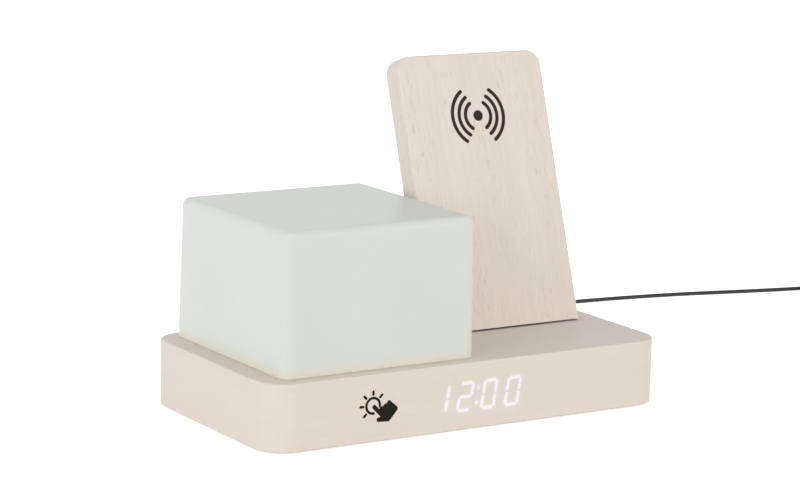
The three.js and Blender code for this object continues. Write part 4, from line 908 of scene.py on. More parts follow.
def add_marks(name, outlines, place, low, high):
    """Flat closed slabs of outlines, in one mesh. place(a, b, lift) puts points of the outlines' plane, lifted off
    it, in the clock's frame."""
    points, faces = [], []
    for outline in outlines:
        first, count = len(points), len(outline)
        for lift in (low, high):
            points.extend(place(outline[:, 0], outline[:, 1], np.full(count, lift)))
        faces += [list(range(first, first + count)), list(range(first + count, first + 2 * count))]
        faces += (grid_faces(2, count) + first).tolist()
    return add_mesh(name, points, faces)


def on_front(x, z, lift):
    """Points of the front face, lifted forwards."""
    return np.stack([x, front_y - lift, z], axis=1)


def hand_outline():
    """The hand, turned to point up and to the left, with its fingertip at the middle of the ring."""
    hand = filleted(HAND_CORNERS) * MM
    turned_x = hand[:, 0] * math.cos(HAND_TURN) - hand[:, 1] * math.sin(HAND_TURN)
    turned_z = hand[:, 0] * math.sin(HAND_TURN) + hand[:, 1] * math.cos(HAND_TURN)
    return np.stack([turned_x, turned_z], axis=1) + MARK_PLACE


def ray_outline(reach, angle):
    """A short pen line that points away from the ring."""
    facing = np.array([math.cos(math.radians(angle)), math.sin(math.radians(angle))])
    return pen_line([MARK_PLACE + facing * reach[0], MARK_PLACE + facing * reach[1]], MARK_PEN)


ring_outline = pen_line(arc(MARK_PLACE, MARK_RING_RADIUS, *MARK_RING_ENDS, 48), MARK_PEN)
touch_outlines = [ring_outline, hand_outline(), *(ray_outline(*ray) for ray in MARK_RAYS)]
touch_mark = add_marks("touch_mark", touch_outlines, on_front, -INK_SINK, INK_PROUD)
dark_ink = moulded("dark_ink", paint(26, 23, 19), 0.75, 3000, 0.00001, 0.0, gloss=INK_GLOSS)
dress(touch_mark, dark_ink)
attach(touch_mark, "clock")


# Lamp shade
# One hollow moulding in frosted plastic with a round upper edge, a little narrower at the top. A square spigot
# below its floor goes through the roof of the base, where the lamp tray holds it.
SHADE_RADIUS = 0.0048
SHADE_TAPER = 0.0014
SHADE_FILLET = 0.0034
SHADE_WALL = 0.0024
SHADE_FOOT_EDGE = 0.0004
SHADE_SIDE_START = 0.004
SPIGOT_HALF = 0.0389
SPIGOT_WALL = 0.002
SHADE_CLOUD = (16, 16, 16)
SHADE_TOOTH = (2600, 2600, 2600)
SHADE_COLOURS = (paint(212, 218, 211), paint(215, 220, 213))
SHADE_ROUGHNESS = (0.28, 0.3)
SHADE_MEAN_ROUGHNESS = 0.29
SHADE_TOOTH_RELIEF = 0.000003
SHADE_SOFTNESS = 0.2
SHADE_LIGHT_REACH = (0.004, 0.004, 0.004)
SHADE_GLOSS = 0.4
# Painted light: a warm tint of the wood's colour in the shade's lowest millimetres stands in for light bounced up from
# the base.
PAINTED_BOUNCE_TINT = paint(236, 212, 176)
PAINTED_BOUNCE_SHARE = 0.3
PAINTED_BOUNCE_REACH = 0.006
shade_height = shade_high.z - base_high.z


def shade_inset(height):
    """How far the side is drawn in at a height: it leans in evenly."""
    return SHADE_TAPER * height / shade_height


def make_shade():
    """Rounded squares: down the inside, in along the floor's upper side, down the spigot's bore, up its outside,
    out under the floor, up the tapered side and over the round upper edge."""
    turn = np.linspace(0, math.pi / 2, 13)
    side_top = shade_height - SHADE_FILLET
    inner_fillet = SHADE_FILLET - SHADE_WALL
    outside = [(0, SHADE_FOOT_EDGE + SHOULDER), (0, SHADE_FOOT_EDGE), (SHADE_FOOT_EDGE, shade_inset(0))]
    outside += [(SHADE_FOOT_EDGE + SHOULDER, shade_inset(SHADE_FOOT_EDGE + SHOULDER))]
    outside += [(height, shade_inset(height)) for height in np.linspace(SHADE_SIDE_START, side_top - SHOULDER, 8)]
    outside += [
        (side_top + SHADE_FILLET * math.sin(a), shade_inset(side_top) + SHADE_FILLET * (1 - math.cos(a))) for a in turn
    ]
    outside.append((shade_height, shade_inset(side_top) + SHADE_FILLET + SHOULDER))
    inside = [
        (
            side_top + inner_fillet * math.sin(a),
            shade_inset(side_top) + SHADE_WALL + inner_fillet * (1 - math.cos(a)),
        )
        for a in turn[::-1]
    ]
    inside.append((SHADE_WALL, SHADE_WALL))
    spigot_bore = SPIGOT_HALF - SPIGOT_WALL
    spigot_low = shade_low.z - base_high.z
    spigot = [
        (SHADE_WALL, spigot_bore, LAMP_OPENING_RADIUS - SPIGOT_WALL),
        (spigot_low, spigot_bore, LAMP_OPENING_RADIUS - SPIGOT_WALL),
        (spigot_low, SPIGOT_HALF, LAMP_OPENING_RADIUS),
        (0, SPIGOT_HALF, LAMP_OPENING_RADIUS),
    ]

    def wide(level, inset):
        """The shade's outline at a level above the base, drawn in by an inset."""
        return box_ring(SHADE_CENTRE, SHADE_HALF, SHADE_RADIUS, base_high.z + level, inset)

    rings = [wide(*level) for level in inside]
    rings += [
        box_ring(SHADE_CENTRE, (half, half), radius, base_high.z + level) for level, half, radius in spigot
    ]
    rings += [wide(*level) for level in outside]
    return add_skin("shade", rings)


def frosted_material():
    """Frosted plastic: pale, faintly green, soft inside, with a very fine even tooth. Near its foot the colour is
    drawn towards the wood's: painted light, bounced up from the base below."""
    material, shader = new_material("frosted_plastic", SHADE_MEAN_ROUGHNESS)
    tree = material.node_tree
    shader.inputs["Subsurface Weight"].default_value = SHADE_SOFTNESS
    shader.inputs["Subsurface Radius"].default_value = SHADE_LIGHT_REACH
    shader.inputs["Subsurface Scale"].default_value = 1.0
    shader.inputs["Specular IOR Level"].default_value = SHADE_GLOSS
    place = object_place(tree)
    cloud = noise(tree, place, SHADE_CLOUD, 2)
    tooth = noise(tree, place, SHADE_TOOTH, 2)
    colour = blend_colour(tree, remap(tree, cloud, *MIDDLE_RANGE), *SHADE_COLOURS)
    height = add_node(tree, "ShaderNodeSeparateXYZ", {0: place}).outputs[2]
    # Painted bounce light: the foot of the shade is tinted towards the wood's colour, fading out over a few
    # millimetres.
    low = remap(tree, height, base_high.z, base_high.z + PAINTED_BOUNCE_REACH, PAINTED_BOUNCE_SHARE, 0.0)
    colour = blend_colour(tree, low, colour, PAINTED_BOUNCE_TINT)
    tree.links.new(colour, shader.inputs["Base Color"])
    tree.links.new(remap(tree, cloud, *MIDDLE_RANGE, *SHADE_ROUGHNESS), shader.inputs["Roughness"])
    add_bump(tree, shader, tooth, SHADE_TOOTH_RELIEF, 0.5)
    return material


shade = dress(make_shade(), frosted_material())
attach(shade, "clock")
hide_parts("lamp_shade")


# Charging stand
# A leaning shell wrapped in the film, cut level at its foot just above the base, and a flush cover over its back.
# All its outlines are drawn square to the plate: across it, behind its face and up it.
STAND_LEAN = math.radians(18.32)
STAND_PLACE = (0.05005, -0.0045, 0.0306)
STAND_HALF = 0.03825
STAND_LENGTH = 0.1242
STAND_THICKNESS = 0.0112
STAND_RADIUS = 0.007
STAND_LEAST_RADIUS = 0.0003
STAND_EDGE = 0.0007
STAND_FRONT_EDGE = 0.0011
STAND_WALL = 0.0026
STAND_FRONT = 0.0024
STAND_RIM = 0.0012
STAND_LEDGE_DEPTH = 0.0089
COVER_FRONT = 0.0092
COVER_INSET = 0.0015
COVER_EDGE = 0.0003
STAND_SCREWS = [(-0.03, 0.01), (0.03, 0.01)]
STAND_BOSS_RADIUS = 0.003
STAND_HOLE_RADIUS = 0.0014
STAND_HOLE_FLOOR = 0.0037
COUNTERBORE_RADIUS = 0.0027
COUNTERBORE_DEPTH = 0.0015
BEHIND_STAND = 0.02
FOOT_CUT = (-0.01, 0.01)
STAND_LEAD_RADIUS = 0.0015
STAND_PORES, STAND_CONTRAST = 1.0, 0.5
# Dark brown for faces that look straight down: the moulding's bare core, and painted shade in the gap under the stand.
CORE_AND_GAP_SHADE_BROWN = paint(70, 52, 38)
CORE_AND_GAP_SHADE_RANGE = (-0.98, -0.9)
BRACKET_PLANE = 0.00505
BRACKET_SLOT_HALF = (0.0153, 0.00105)
STAND_LEAD_PLACE = (0.025, 0.0065)


def leaning(x, depth, rise):
    """Points in the clock's frame, from how far they lie across the plate, behind its face and up it."""
    x, depth, rise = np.broadcast_arrays(x, depth, rise)
    y = STAND_PLACE[1] + depth * math.cos(STAND_LEAN) + rise * math.sin(STAND_LEAN)
    z = STAND_PLACE[2] - depth * math.sin(STAND_LEAN) + rise * math.cos(STAND_LEAN)
    return np.stack([STAND_PLACE[0] + x, y, z], axis=-1)


def on_plate(points):
    """The way back: across the plate, behind its face and up it."""
    y, z = points[:, 1] - STAND_PLACE[1], points[:, 2] - STAND_PLACE[2]
    depth = y * math.cos(STAND_LEAN) - z * math.sin(STAND_LEAN)
    rise = y * math.sin(STAND_LEAN) + z * math.cos(STAND_LEAN)
    return points[:, 0] - STAND_PLACE[0], depth, rise


def stand_ring(depth, inset, lift=0.0):
    """The outline at a depth: a level lower edge, lifted by so much, two sides, and a quarter circle at each upper
    corner."""
    half, top = STAND_HALF - inset, STAND_LENGTH - inset
    radius = max(STAND_RADIUS - inset, STAND_LEAST_RADIUS)
    low = (lift + depth * math.sin(STAND_LEAN)) / math.cos(STAND_LEAN)
    right = arc((half - radius, top - radius), radius, 0, 90, 16)
    left = arc((radius - half, top - radius), radius, 90, 180, 16)
    outline = np.concatenate([
        [(half - SHOULDER, low), (half, low), (half, low + SHOULDER), (half, top - radius - SHOULDER)],
        right,
        [(half - radius - SHOULDER, top), (radius - half + SHOULDER, top)],
        left,
        [(-half, top - radius - SHOULDER), (-half, low + SHOULDER), (-half, low), (SHOULDER - half, low)],
    ])
    return leaning(outline[:, 0], depth, outline[:, 1])


def stand_film_map(piece):
    """The film's map on the stand: v across the plate and u up it. Over a side or the top it runs on round the
    edge, so the depth is added."""
    mesh = piece.data
    across, depth, rise = on_plate(corner_points(mesh))
    normals = read_all(mesh.polygons, "normal", 3)
    sizes = read_all(mesh.polygons, "loop_total", kind=np.int32)
    upward = normals[:, 1] * math.sin(STAND_LEAN) + normals[:, 2] * math.cos(STAND_LEAN)
    on_side = np.repeat(np.abs(normals[:, 0]) > FACING_SHARE, sizes)
    on_top = np.repeat(np.abs(upward) > FACING_SHARE, sizes)
    v = across + np.where(on_side, np.sign(across) * depth, 0)
    u = rise + np.where(on_top, depth, 0)
    write_film_map(mesh, u, v)


def leaning_rod(name, x, rise, radius, depth_low, depth_high, sides=32):
    """A round rod square to the plate."""
    outline = circle(radius, (x, rise), sides)
    return add_skin(name, [leaning(outline[:, 0], depth, outline[:, 1]) for depth in (depth_low, depth_high)])


def leaning_post(name, outline, rise_low, rise_high):
    """A straight post up the plate, its outline given across and behind the plate's face."""
    return add_skin(name, [leaning(outline[:, 0], outline[:, 1], rise) for rise in (rise_low, rise_high)])


def make_stand_shell():
    """Outlines from the front face, round its edge, back along the sides, in to the rebate and its ledge, and down
    to the pocket's floor."""
    rings = [stand_ring(drop, inset) for inset, drop in reversed(quarter_round(STAND_FRONT_EDGE))]
    rings += [stand_ring(STAND_THICKNESS - drop, inset) for inset, drop in quarter_round(STAND_EDGE)[:-1]]
    rings.append(stand_ring(STAND_THICKNESS, STAND_RIM, STAND_RIM))
    rings += [stand_ring(STAND_LEDGE_DEPTH, inset, inset) for inset in (STAND_RIM, STAND_WALL)]
    rings.append(stand_ring(STAND_FRONT, STAND_WALL, STAND_WALL))
    shell = add_skin("stand_film", rings)
    slot = rectangle(
        (-BRACKET_SLOT_HALF[0], BRACKET_PLANE - BRACKET_SLOT_HALF[1]),
        (BRACKET_SLOT_HALF[0], BRACKET_PLANE + BRACKET_SLOT_HALF[1]),
    )
    boss_reach = (STAND_BOSS_RADIUS, STAND_FRONT - OVERRUN, STAND_LEDGE_DEPTH)
    bosses = [leaning_rod("boss", *place, *boss_reach) for place in STAND_SCREWS]
    hole_reach = (STAND_HOLE_RADIUS, STAND_HOLE_FLOOR, BEHIND_STAND)
    cutters = [
        leaning_post("slot", slot, *FOOT_CUT),
        leaning_post("lead_hole", circle(STAND_LEAD_RADIUS, STAND_LEAD_PLACE), *FOOT_CUT),
        *(leaning_rod("hole", *place, *hole_reach) for place in STAND_SCREWS),
    ]
    return shape_solid(shell, bosses, cutters)


def make_stand_cover():
    """A plate from its inner side, back along its edge, to its outer face with a small round, and two holes for
    flush screw heads."""
    edge = quarter_round(COVER_EDGE, 3)
    rings = [stand_ring(COVER_FRONT, COVER_INSET, COVER_INSET)]
    rings += [stand_ring(STAND_THICKNESS - drop, COVER_INSET + inset, COVER_INSET + inset) for inset, drop in edge]
    holes = []
    counterbore = (COUNTERBORE_RADIUS, STAND_THICKNESS - COUNTERBORE_DEPTH, BEHIND_STAND)
    for place in STAND_SCREWS:
        holes.append(leaning_rod("counterbore", *place, *counterbore))
        holes.append(leaning_rod("hole", *place, STAND_HOLE_RADIUS, 0, BEHIND_STAND))
    return shape_solid(add_skin("stand_back", rings), [], holes)


def show_core_and_gap_shade(material, shader):
    """The film ends at the stand's level foot: a face that looks straight down is dark brown, both the moulding's
    bare core and painted shade in the thin gap under the stand.
    """
    tree = material.node_tree
    facing = add_node(tree, "ShaderNodeNewGeometry").outputs["Normal"]
    upward = add_node(tree, "ShaderNodeSeparateXYZ", {0: facing}).outputs[2]
    printed = shader.inputs["Base Color"].links[0].from_socket
    colour = blend_colour(tree, remap(tree, upward, *CORE_AND_GAP_SHADE_RANGE, 1.0, 0.0), printed, CORE_AND_GAP_SHADE_BROWN)
    tree.links.new(colour, shader.inputs["Base Color"])
    return material


stand_film = show_core_and_gap_shade(*film_material("stand_film", STAND_PORES, STAND_CONTRAST))
for piece, node in ((make_stand_shell(), "stand_shell"), (make_stand_cover(), "stand_cover")):
    stand_film_map(piece)
    dress(piece, stand_film)
    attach(piece, "clock")
    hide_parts(node)


# Charging mark
# A generic pictogram, printed in dark ink over the film: a dot with three arcs on either side. It shows where the
# coil lies behind the face of the stand.
CHARGER_RISE = 0.0955
CHARGE_DOT_RADIUS = 0.00245
CHARGE_ARC_RADII = (0.0067, 0.01005, 0.01355)
CHARGE_ARC_HALF_ANGLES = (57, 57, 56)
CHARGE_PEN = 0.00172


def on_stand(x, rise, lift):
    """Points of the stand's face, lifted off it."""
    return leaning(x, -lift, rise)


charge_centre = (0, CHARGER_RISE)
charge_outlines = [circle(CHARGE_DOT_RADIUS, charge_centre, 48)]
for arc_radius, half_angle in zip(CHARGE_ARC_RADII, CHARGE_ARC_HALF_ANGLES):
    for facing in (0, 180):
        line = arc(charge_centre, arc_radius, facing - half_angle, facing + half_angle)
        charge_outlines.append(pen_line(line, CHARGE_PEN))
charge_mark = add_marks("charge_mark", charge_outlines, on_stand, -INK_SINK, INK_PROUD)
olive_ink = moulded("olive_ink", paint(48, 43, 33), 0.75, 3000, 0.00001, 0.0, gloss=INK_GLOSS)
dress(charge_mark, olive_ink)
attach(charge_mark, "clock")


# Bottom cover and feet
# A flat moulded plate inside the rim, held by four screws whose heads lie flush, with recesses for four rubber
# feet and a ring of small holes under the buzzer.
cover_low, cover_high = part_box("bottom_cover")
COVER_PLATE = 0.0024
FOUR_CORNERS = ("front_left", "front_right", "back_right", "back_left")
foot_places = {}
for side in FOUR_CORNERS:
    low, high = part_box(f"foot_{side}")
    foot_centre, foot_half = middle_and_half(low, high)
    foot_places[side] = (*foot_centre, foot_half[0], high.z)
FOOT_EDGE = 0.0006
FOOT_EDGE_TURN = 1.57
FOOT_DISH = 0.00012
FOOT_DISH_SHARE = 0.72
FOOT_CHAMFER = (0.0002, 0.0003)
FOOT_RECESS_DEPTH = 0.0008
HEAD_RADIUS = 0.0024
HEAD_HEIGHT = 0.0012
SHANK_RADIUS = 0.0011
SOUND_HOLE_RADIUS = 0.0009
SOUND_RING_RADIUS = 0.0036
BUZZER_PLACE, _ = middle_and_half(*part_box("buzzer"))
STANDOFF_INSET = 0.004
STANDOFF_RADIUS = 0.003
board_low, board_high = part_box("main_board")


def make_bottom_cover():
    """Rounded rectangles up the plate's edge, with a standoff for each corner of the main board, and the holes."""
    _, half = middle_and_half(cover_low, cover_high)
    radius = BASE_RADIUS - (BASE_HALF[0] - half[0])
    top = cover_low.z + COVER_PLATE
    edge = quarter_round(COVER_EDGE, 3)
    rings = [box_ring((0, 0), half, radius, cover_low.z + drop, inset) for inset, drop in reversed(edge)]
    rings.append(box_ring((0, 0), half, radius, top))
    below = cover_low.z - OVERRUN
    cutters = [
        prism("recess", circle(foot_radius + FIT, (x, y), 64), "z", below, cover_low.z + FOOT_RECESS_DEPTH)
        for x, y, foot_radius, _ in foot_places.values()
    ]
    for place in post_places:
        cutters.append(prism("sink", circle(HEAD_RADIUS + FIT, place), "z", below, cover_low.z + HEAD_HEIGHT))
        cutters.append(prism("hole", circle(POST_HOLE_RADIUS, place), "z", below, top + OVERRUN))
    for place in circle(SOUND_RING_RADIUS, BUZZER_PLACE, 6):
        cutters.append(prism("sound", circle(SOUND_HOLE_RADIUS, place, 24), "z", below, top + OVERRUN))
    standoffs = []
    for x in (board_low.x + STANDOFF_INSET, board_high.x - STANDOFF_INSET):
        for y in (board_low.y + STANDOFF_INSET, board_high.y - STANDOFF_INSET):
            standoffs.append(prism("standoff", circle(STANDOFF_RADIUS, (x, y)), "z", top - OVERRUN, cover_high.z))
            cutters.append(prism("hole", circle(POST_HOLE_RADIUS, (x, y)), "z", top, cover_high.z + OVERRUN))
    return shape_solid(add_skin("underside", rings), standoffs, cutters)


dark_plastic = moulded("dark_plastic", paint(56, 53, 50), 0.52, 1500, 0.00006, 0.12)
bottom_cover = dress(make_bottom_cover(), dark_plastic)
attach(bottom_cover, "clock")
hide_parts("bottom_cover")

black_rubber = moulded("black_rubber", paint(34, 34, 35), 0.78, 1800, 0.00008, 0.3)


def turned(name, profile, sides=48):
    """A body of revolution about Z: the profile is radius and height, from one end on the axis to the other. Its
    first and last circles are closed by flat faces."""
    rings = [np.column_stack([circle(radius, sides=sides), np.full(sides, height)]) for radius, height in profile]
    return add_skin(name, rings)


def put(piece, matrix):
    """Moves a piece's mesh, and leaves its object at the origin."""
    piece.data.transform(matrix)
    return piece


def make_foot(name, x, y, radius, top):
    """A turned pad: a shallow dish in the sole, a round lower edge, a straight side."""
    shares = (0.12, 0.4, 0.6, FOOT_DISH_SHARE)
    sole = [(radius * share, FOOT_DISH * (1 - (share / FOOT_DISH_SHARE) ** 2)) for share in shares]
    turn = np.linspace(0, FOOT_EDGE_TURN, 7)
    edge = [(radius - FOOT_EDGE + FOOT_EDGE * math.sin(a), FOOT_EDGE - FOOT_EDGE * math.cos(a)) for a in turn]
    profile = [*sole, *edge, (radius, top - FOOT_CHAMFER[1]), (radius - FOOT_CHAMFER[0], top)]
    return put(turned(name, profile, 64), Matrix.Translation((x, y, 0)))


for side, (x, y, radius, top) in foot_places.items():
    foot = dress(make_foot(f"rubber_foot_{side}", x, y, radius, top), black_rubber)
    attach(foot, "clock")
    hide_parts(f"foot_{side}")


# Screws that show
# Small pan-head screws with a cross recess, in zinc-plated steel. Four go up through the bottom cover into the
# base's posts, and two go through the stand's cover into the bosses behind its face.
THREAD_STEP = 0.0004
THREAD_DEPTH = 0.0002
THREAD_END = 0.0006
HEAD_EDGE = 0.0004
HEAD_EDGE_RISE = 0.0003
DOME_RISE = 0.0001
CROSS_DEPTH = 0.0007
CROSS_HALF = (0.0013, 0.00026)


def make_screw(name, length):
    """A screw that stands on its thread's end: a plain shank with a round ridge for each turn of thread, then the
    head with a low dome, and a cross cut into it."""
    thread = []
    for step in range(int(length / THREAD_STEP)):
        height = THREAD_END + step * THREAD_STEP
        if height < length - THREAD_END:
            thread.append((SHANK_RADIUS - (THREAD_DEPTH if step % 2 else 0), height))
    top = length + HEAD_HEIGHT
    dome = []
    for share in np.linspace(0, 1, 7):
        out, rise = math.cos(share * math.pi / 2), math.sin(share * math.pi / 2)
        dome.append((HEAD_RADIUS - HEAD_EDGE + HEAD_EDGE * out, top - HEAD_EDGE + HEAD_EDGE_RISE * rise))
    dome += [(HEAD_RADIUS * share, top - DOME_RISE + DOME_RISE * (1 - share * share)) for share in (0.6, 0.3)]
    profile = [(SHANK_RADIUS * 0.5, 0), *thread, (SHANK_RADIUS * 0.9, length), (HEAD_RADIUS, length), *dome]
    screw = turned(name, profile, 40)
    slots = []
    for half in (CROSS_HALF, CROSS_HALF[::-1]):
        outline = rectangle((-half[0], -half[1]), half)
        slots.append(prism("slot", outline, "z", top - CROSS_DEPTH, top + OVERRUN))
    return shape_solid(screw, [], slots)


steel = moulded("zinc_steel", paint(176, 178, 181), 0.34, 1200, 0.00001, 0.05, 1.0)
HEAD_DOWN = Matrix.Rotation(math.pi, 4, "X")
for side in FOUR_CORNERS:
    low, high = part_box(f"cover_screw_{side}")
    length = high.z - low.z - HEAD_HEIGHT
    place = (*middle_and_half(low, high)[0], high.z)
    screw = put(make_screw(f"underside_screw_{side}", length), Matrix.Translation(place) @ HEAD_DOWN)
    dress(screw, steel)
    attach(screw, "clock")
    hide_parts(f"cover_screw_{side}")

STAND_SCREW_LENGTH = 0.006
screw_turn = Matrix.Rotation(-math.pi / 2 - STAND_LEAN, 4, "X")
for side, (x, rise) in zip(("left", "right"), STAND_SCREWS):
    tip = leaning(x, STAND_THICKNESS - HEAD_HEIGHT - STAND_SCREW_LENGTH, rise)
    screw = put(make_screw(f"stand_back_screw_{side}", STAND_SCREW_LENGTH), Matrix.Translation(tip) @ screw_turn)
    dress(screw, steel)
    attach(screw, "clock")
    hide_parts(f"stand_screw_{side}")


# Rear panel and its keys
# A small dark plate lies recessed in the back. It has the inlet at one end, and three keys that stand a little
# proud: set, down and up. Each key has a raised generic mark.
PANEL_FACE = 0.0515
PANEL_STEP = 0.0495
PANEL_RADIUS = 0.002
KEY_HALF = (0.0045, 0.0023)
KEY_RADIUS = 0.0022
KEY_LIP = 0.001
KEY_EDGE = 0.0004
KEY_MARK = 0.00026
KEY_HOLE_RADIUS = KEY_RADIUS + FIT - 0.0002
KEY_CAP_RADIUS = KEY_RADIUS - 0.0001
CROWN_RISE = 0.00002
CROWN_STEP = 0.0003
KEY_RING_RADIUS = 0.00105
KEY_RING_ENDS = (100, 440)
KEY_PEN = 0.0003
KEY_DOT_RADIUS = 0.0004
# A triangle's half width, the rise of its tip and of its base, and its corners' radius, in mm.
TRIANGLE_HALF, TRIANGLE_TIP, TRIANGLE_BASE, TRIANGLE_RADIUS = 1.15, 1.15, -0.75, 0.15
PANEL_EDGE = 0.0003
SOCKET_HALF = (0.00515, 0.0022)
SOCKET_RADIUS = 0.0019


def rounded_plate(name, half, radius, centre, levels):
    """A plate square to Y: rounded rectangles at levels along Y, each with an inset and a step outwards."""
    rings = []
    for y, inset in levels:
        ring = rounded_ring(half[0] - inset, half[1] - inset, max(radius - inset, LEAST_RADIUS), 10) + centre
        rings.append(np.insert(ring, 1, y, axis=1))
    return add_skin(name, rings)


key_centres = {}
for key in ("set", "down", "up"):
    low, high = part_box(f"{key}_button")
    key_centres[key] = (*middle_and_half(low, high, "xz")[0], low.y, high.y)
face_half = [half - FIT for half in opening_half]
panel_levels = [(panel_low.y, -PANEL_LIP), (PANEL_STEP, -PANEL_LIP), (PANEL_STEP, 0)]
panel_levels += [(PANEL_FACE - drop, inset) for inset, drop in quarter_round(PANEL_EDGE, 3)]
through_panel = ("y", panel_low.y - OVERRUN, PANEL_FACE + OVERRUN)
key_hole = rounded_ring(KEY_HALF[0] + FIT, KEY_HALF[1] + FIT, KEY_HOLE_RADIUS, 10)
panel_cutters = [prism("hole", key_hole + (x, z), *through_panel) for x, z, _, _ in key_centres.values()]
socket_centre, _ = middle_and_half(*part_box("power_socket"), "xz")
socket_hole = rounded_ring(*SOCKET_HALF, SOCKET_RADIUS, 10) + socket_centre
panel_cutters.append(prism("hole", socket_hole, *through_panel))
panel_plate = rounded_plate("back_panel", face_half, PANEL_RADIUS, panel_centre, panel_levels)
panel = shape_solid(panel_plate, [], panel_cutters)
dress(panel, dark_plastic)
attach(panel, "clock")
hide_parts("rear_panel")


def key_mark_outlines(key, x, z):
    """A ring with a dot for set, and a triangle for down or up."""
    if key == "set":
        ring = pen_line(arc((x, z), KEY_RING_RADIUS, *KEY_RING_ENDS, 40), KEY_PEN)
        return [ring, circle(KEY_DOT_RADIUS, (x, z), 24)]
    tip = -1 if key == "down" else 1
    triangle = [(0, TRIANGLE_TIP), (-TRIANGLE_HALF, TRIANGLE_BASE), (TRIANGLE_HALF, TRIANGLE_BASE)]
    corners = [((across * tip, rise * tip), TRIANGLE_RADIUS) for across, rise in triangle]
    return [filleted(corners, 5) * MM + (x, z)]


key_plastic = moulded("key_plastic", paint(46, 44, 42), 0.46, 1700, 0.00004, 0.08)
for key, (x, z, back, face) in key_centres.items():
    crown = [(face - drop, inset) for inset, drop in quarter_round(KEY_EDGE)][:-1]
    crown += [(face + CROWN_RISE * step, KEY_EDGE + CROWN_STEP * step) for step in (1, 2, 3)]
    lip_front = panel_low.y - FIT
    levels = [(back, -KEY_LIP), (lip_front, -KEY_LIP), (lip_front, 0), *crown]
    cap = rounded_plate(f"{key}_key_cap", KEY_HALF, KEY_CAP_RADIUS, (x, z), levels)
    mark = add_marks(
        f"{key}_key_mark",
        key_mark_outlines(key, x, z),
        lambda a, b, lift, face=face: np.stack([a, face + lift, b], axis=1),
        -INK_SINK,
        KEY_MARK,
    )
    for piece in (cap, mark):
        dress(piece, key_plastic)
        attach(piece, f"{key}_key")
    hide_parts(f"{key}_button")


# Plugs and tie
# Each plug is a metal shell in a soft moulded grip with a ribbed strain relief. The far one is a flat rectangular
# plug with two square holes in its shell. A thin strap holds the coil of cord.
GRIP_EDGE = 0.0007
GRIP_RADIUS = 0.002
GRIP_WAIST = 0.0004
GRIP_NECK_INSET = 0.001
RELIEF_END_RADIUS = 0.0017
RIBS = 6
RIB_DEPTH = 0.0004
ROUNDEST = 0.97
SLEEVE_WALL = 0.0003
SLEEVE_RADII = (0.0002, 0.0004)
# How far each window lies from the middle and from the mouth, and half its size.
SLEEVE_WINDOW = (0.0026, 0.0058, 0.0012)
TONGUE_HALF = 0.0055
TONGUE_LEVELS = (0.0005, 0.0024)
TONGUE_SET_BACK = 0.0006
CONTACT_PITCH = 0.0023
CONTACT_HALF = 0.0005
CONTACT_SET_BACK = 0.0012
CONTACT_PROUD = 0.0001
TIE_HALF_THICKNESS = 0.0002
TIE_RADIUS = 0.0008


def grip_ring(y, half, radius, centre):
    """A rounded rectangle square to Y."""
    ring = rounded_ring(half[0], half[1], radius, 8) + centre
    return np.insert(ring, 1, y, axis=1)


def make_grip(name, node, body_length):
    """A grip along Y: a round-edged body drawn in a little at its middle, a shoulder, and a relief of ribs with
    grooves between them that taper to the cord."""
    low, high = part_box(node)
    centre, half = middle_and_half(low, high, "xz")
    rings = []
    for inset, drop in reversed(quarter_round(GRIP_EDGE, 4)):
        rings.append((low.y + drop, (half[0] - inset, half[1] - inset), GRIP_RADIUS - inset))
    for share in np.linspace(0.15, 0.85, 9):
        waist = GRIP_WAIST * math.sin(share * math.pi) ** 2
        rings.append((low.y + share * body_length, (half[0] - waist, half[1]), GRIP_RADIUS))
    for inset, drop in quarter_round(GRIP_EDGE, 4):
        rings.append((low.y + body_length - drop, (half[0] - inset, half[1] - inset), GRIP_RADIUS - inset))
    neck = min(half[1] - GRIP_NECK_INSET, 2 * RELIEF_END_RADIUS)
    relief = high.y - low.y - body_length
    step = relief / RIBS
    for rib in range(RIBS):
        outer = neck + (RELIEF_END_RADIUS - neck) * (rib + 0.5) / RIBS
        inner = outer - RIB_DEPTH
        start = low.y + body_length + rib * step
        for share, rib_radius in ((0.0, inner), (0.3, inner), (0.36, outer), (0.94, outer), (0.999, inner)):
            rings.append((start + share * step, (rib_radius, rib_radius), rib_radius * ROUNDEST))
    return add_skin(name, [grip_ring(y, size, min(r, min(size) * ROUNDEST), centre) for y, size, r in rings])


def make_far_shell():
    """A thin rectangular sleeve, from inside out round its mouth, with two square holes in each broad side."""
    low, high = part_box("far_plug_shell")
    centre, half = middle_and_half(low, high, "xz")
    wall = SLEEVE_WALL
    inside = ((high.y, wall), (low.y + wall, wall), (low.y, wall * 1.5))
    outside = ((low.y, wall * 0.5), (low.y + wall, 0), (high.y, 0))
    rings = []
    for levels, radius in zip((inside, outside), SLEEVE_RADII):
        for y, inset in levels:
            rings.append(grip_ring(y, (half[0] - inset, half[1] - inset), radius, centre))
    shell = add_skin("far_plug_sleeve", rings, closed=False)
    windows = []
    reach, set_back, size = SLEEVE_WINDOW
    for side in (-1, 1):
        x, y = centre[0] + side * reach, low.y + set_back
        outline = rectangle((x - size, y - size), (x + size, y + size))
        windows.append(prism("window", outline, "z", low.z - OVERRUN, high.z + OVERRUN))
    return shape_solid(shell, [], windows)


def make_far_tongue():
    """A plastic bar along the lower half of the sleeve."""
    low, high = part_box("far_plug_shell")
    centre = middle_and_half(low, high)[0][0]
    under, over = (low.z + level for level in TONGUE_LEVELS)
    outline = rectangle((centre - TONGUE_HALF, under), (centre + TONGUE_HALF, over))
    return prism("far_plug_tongue", outline, "y", low.y + TONGUE_SET_BACK, high.y)


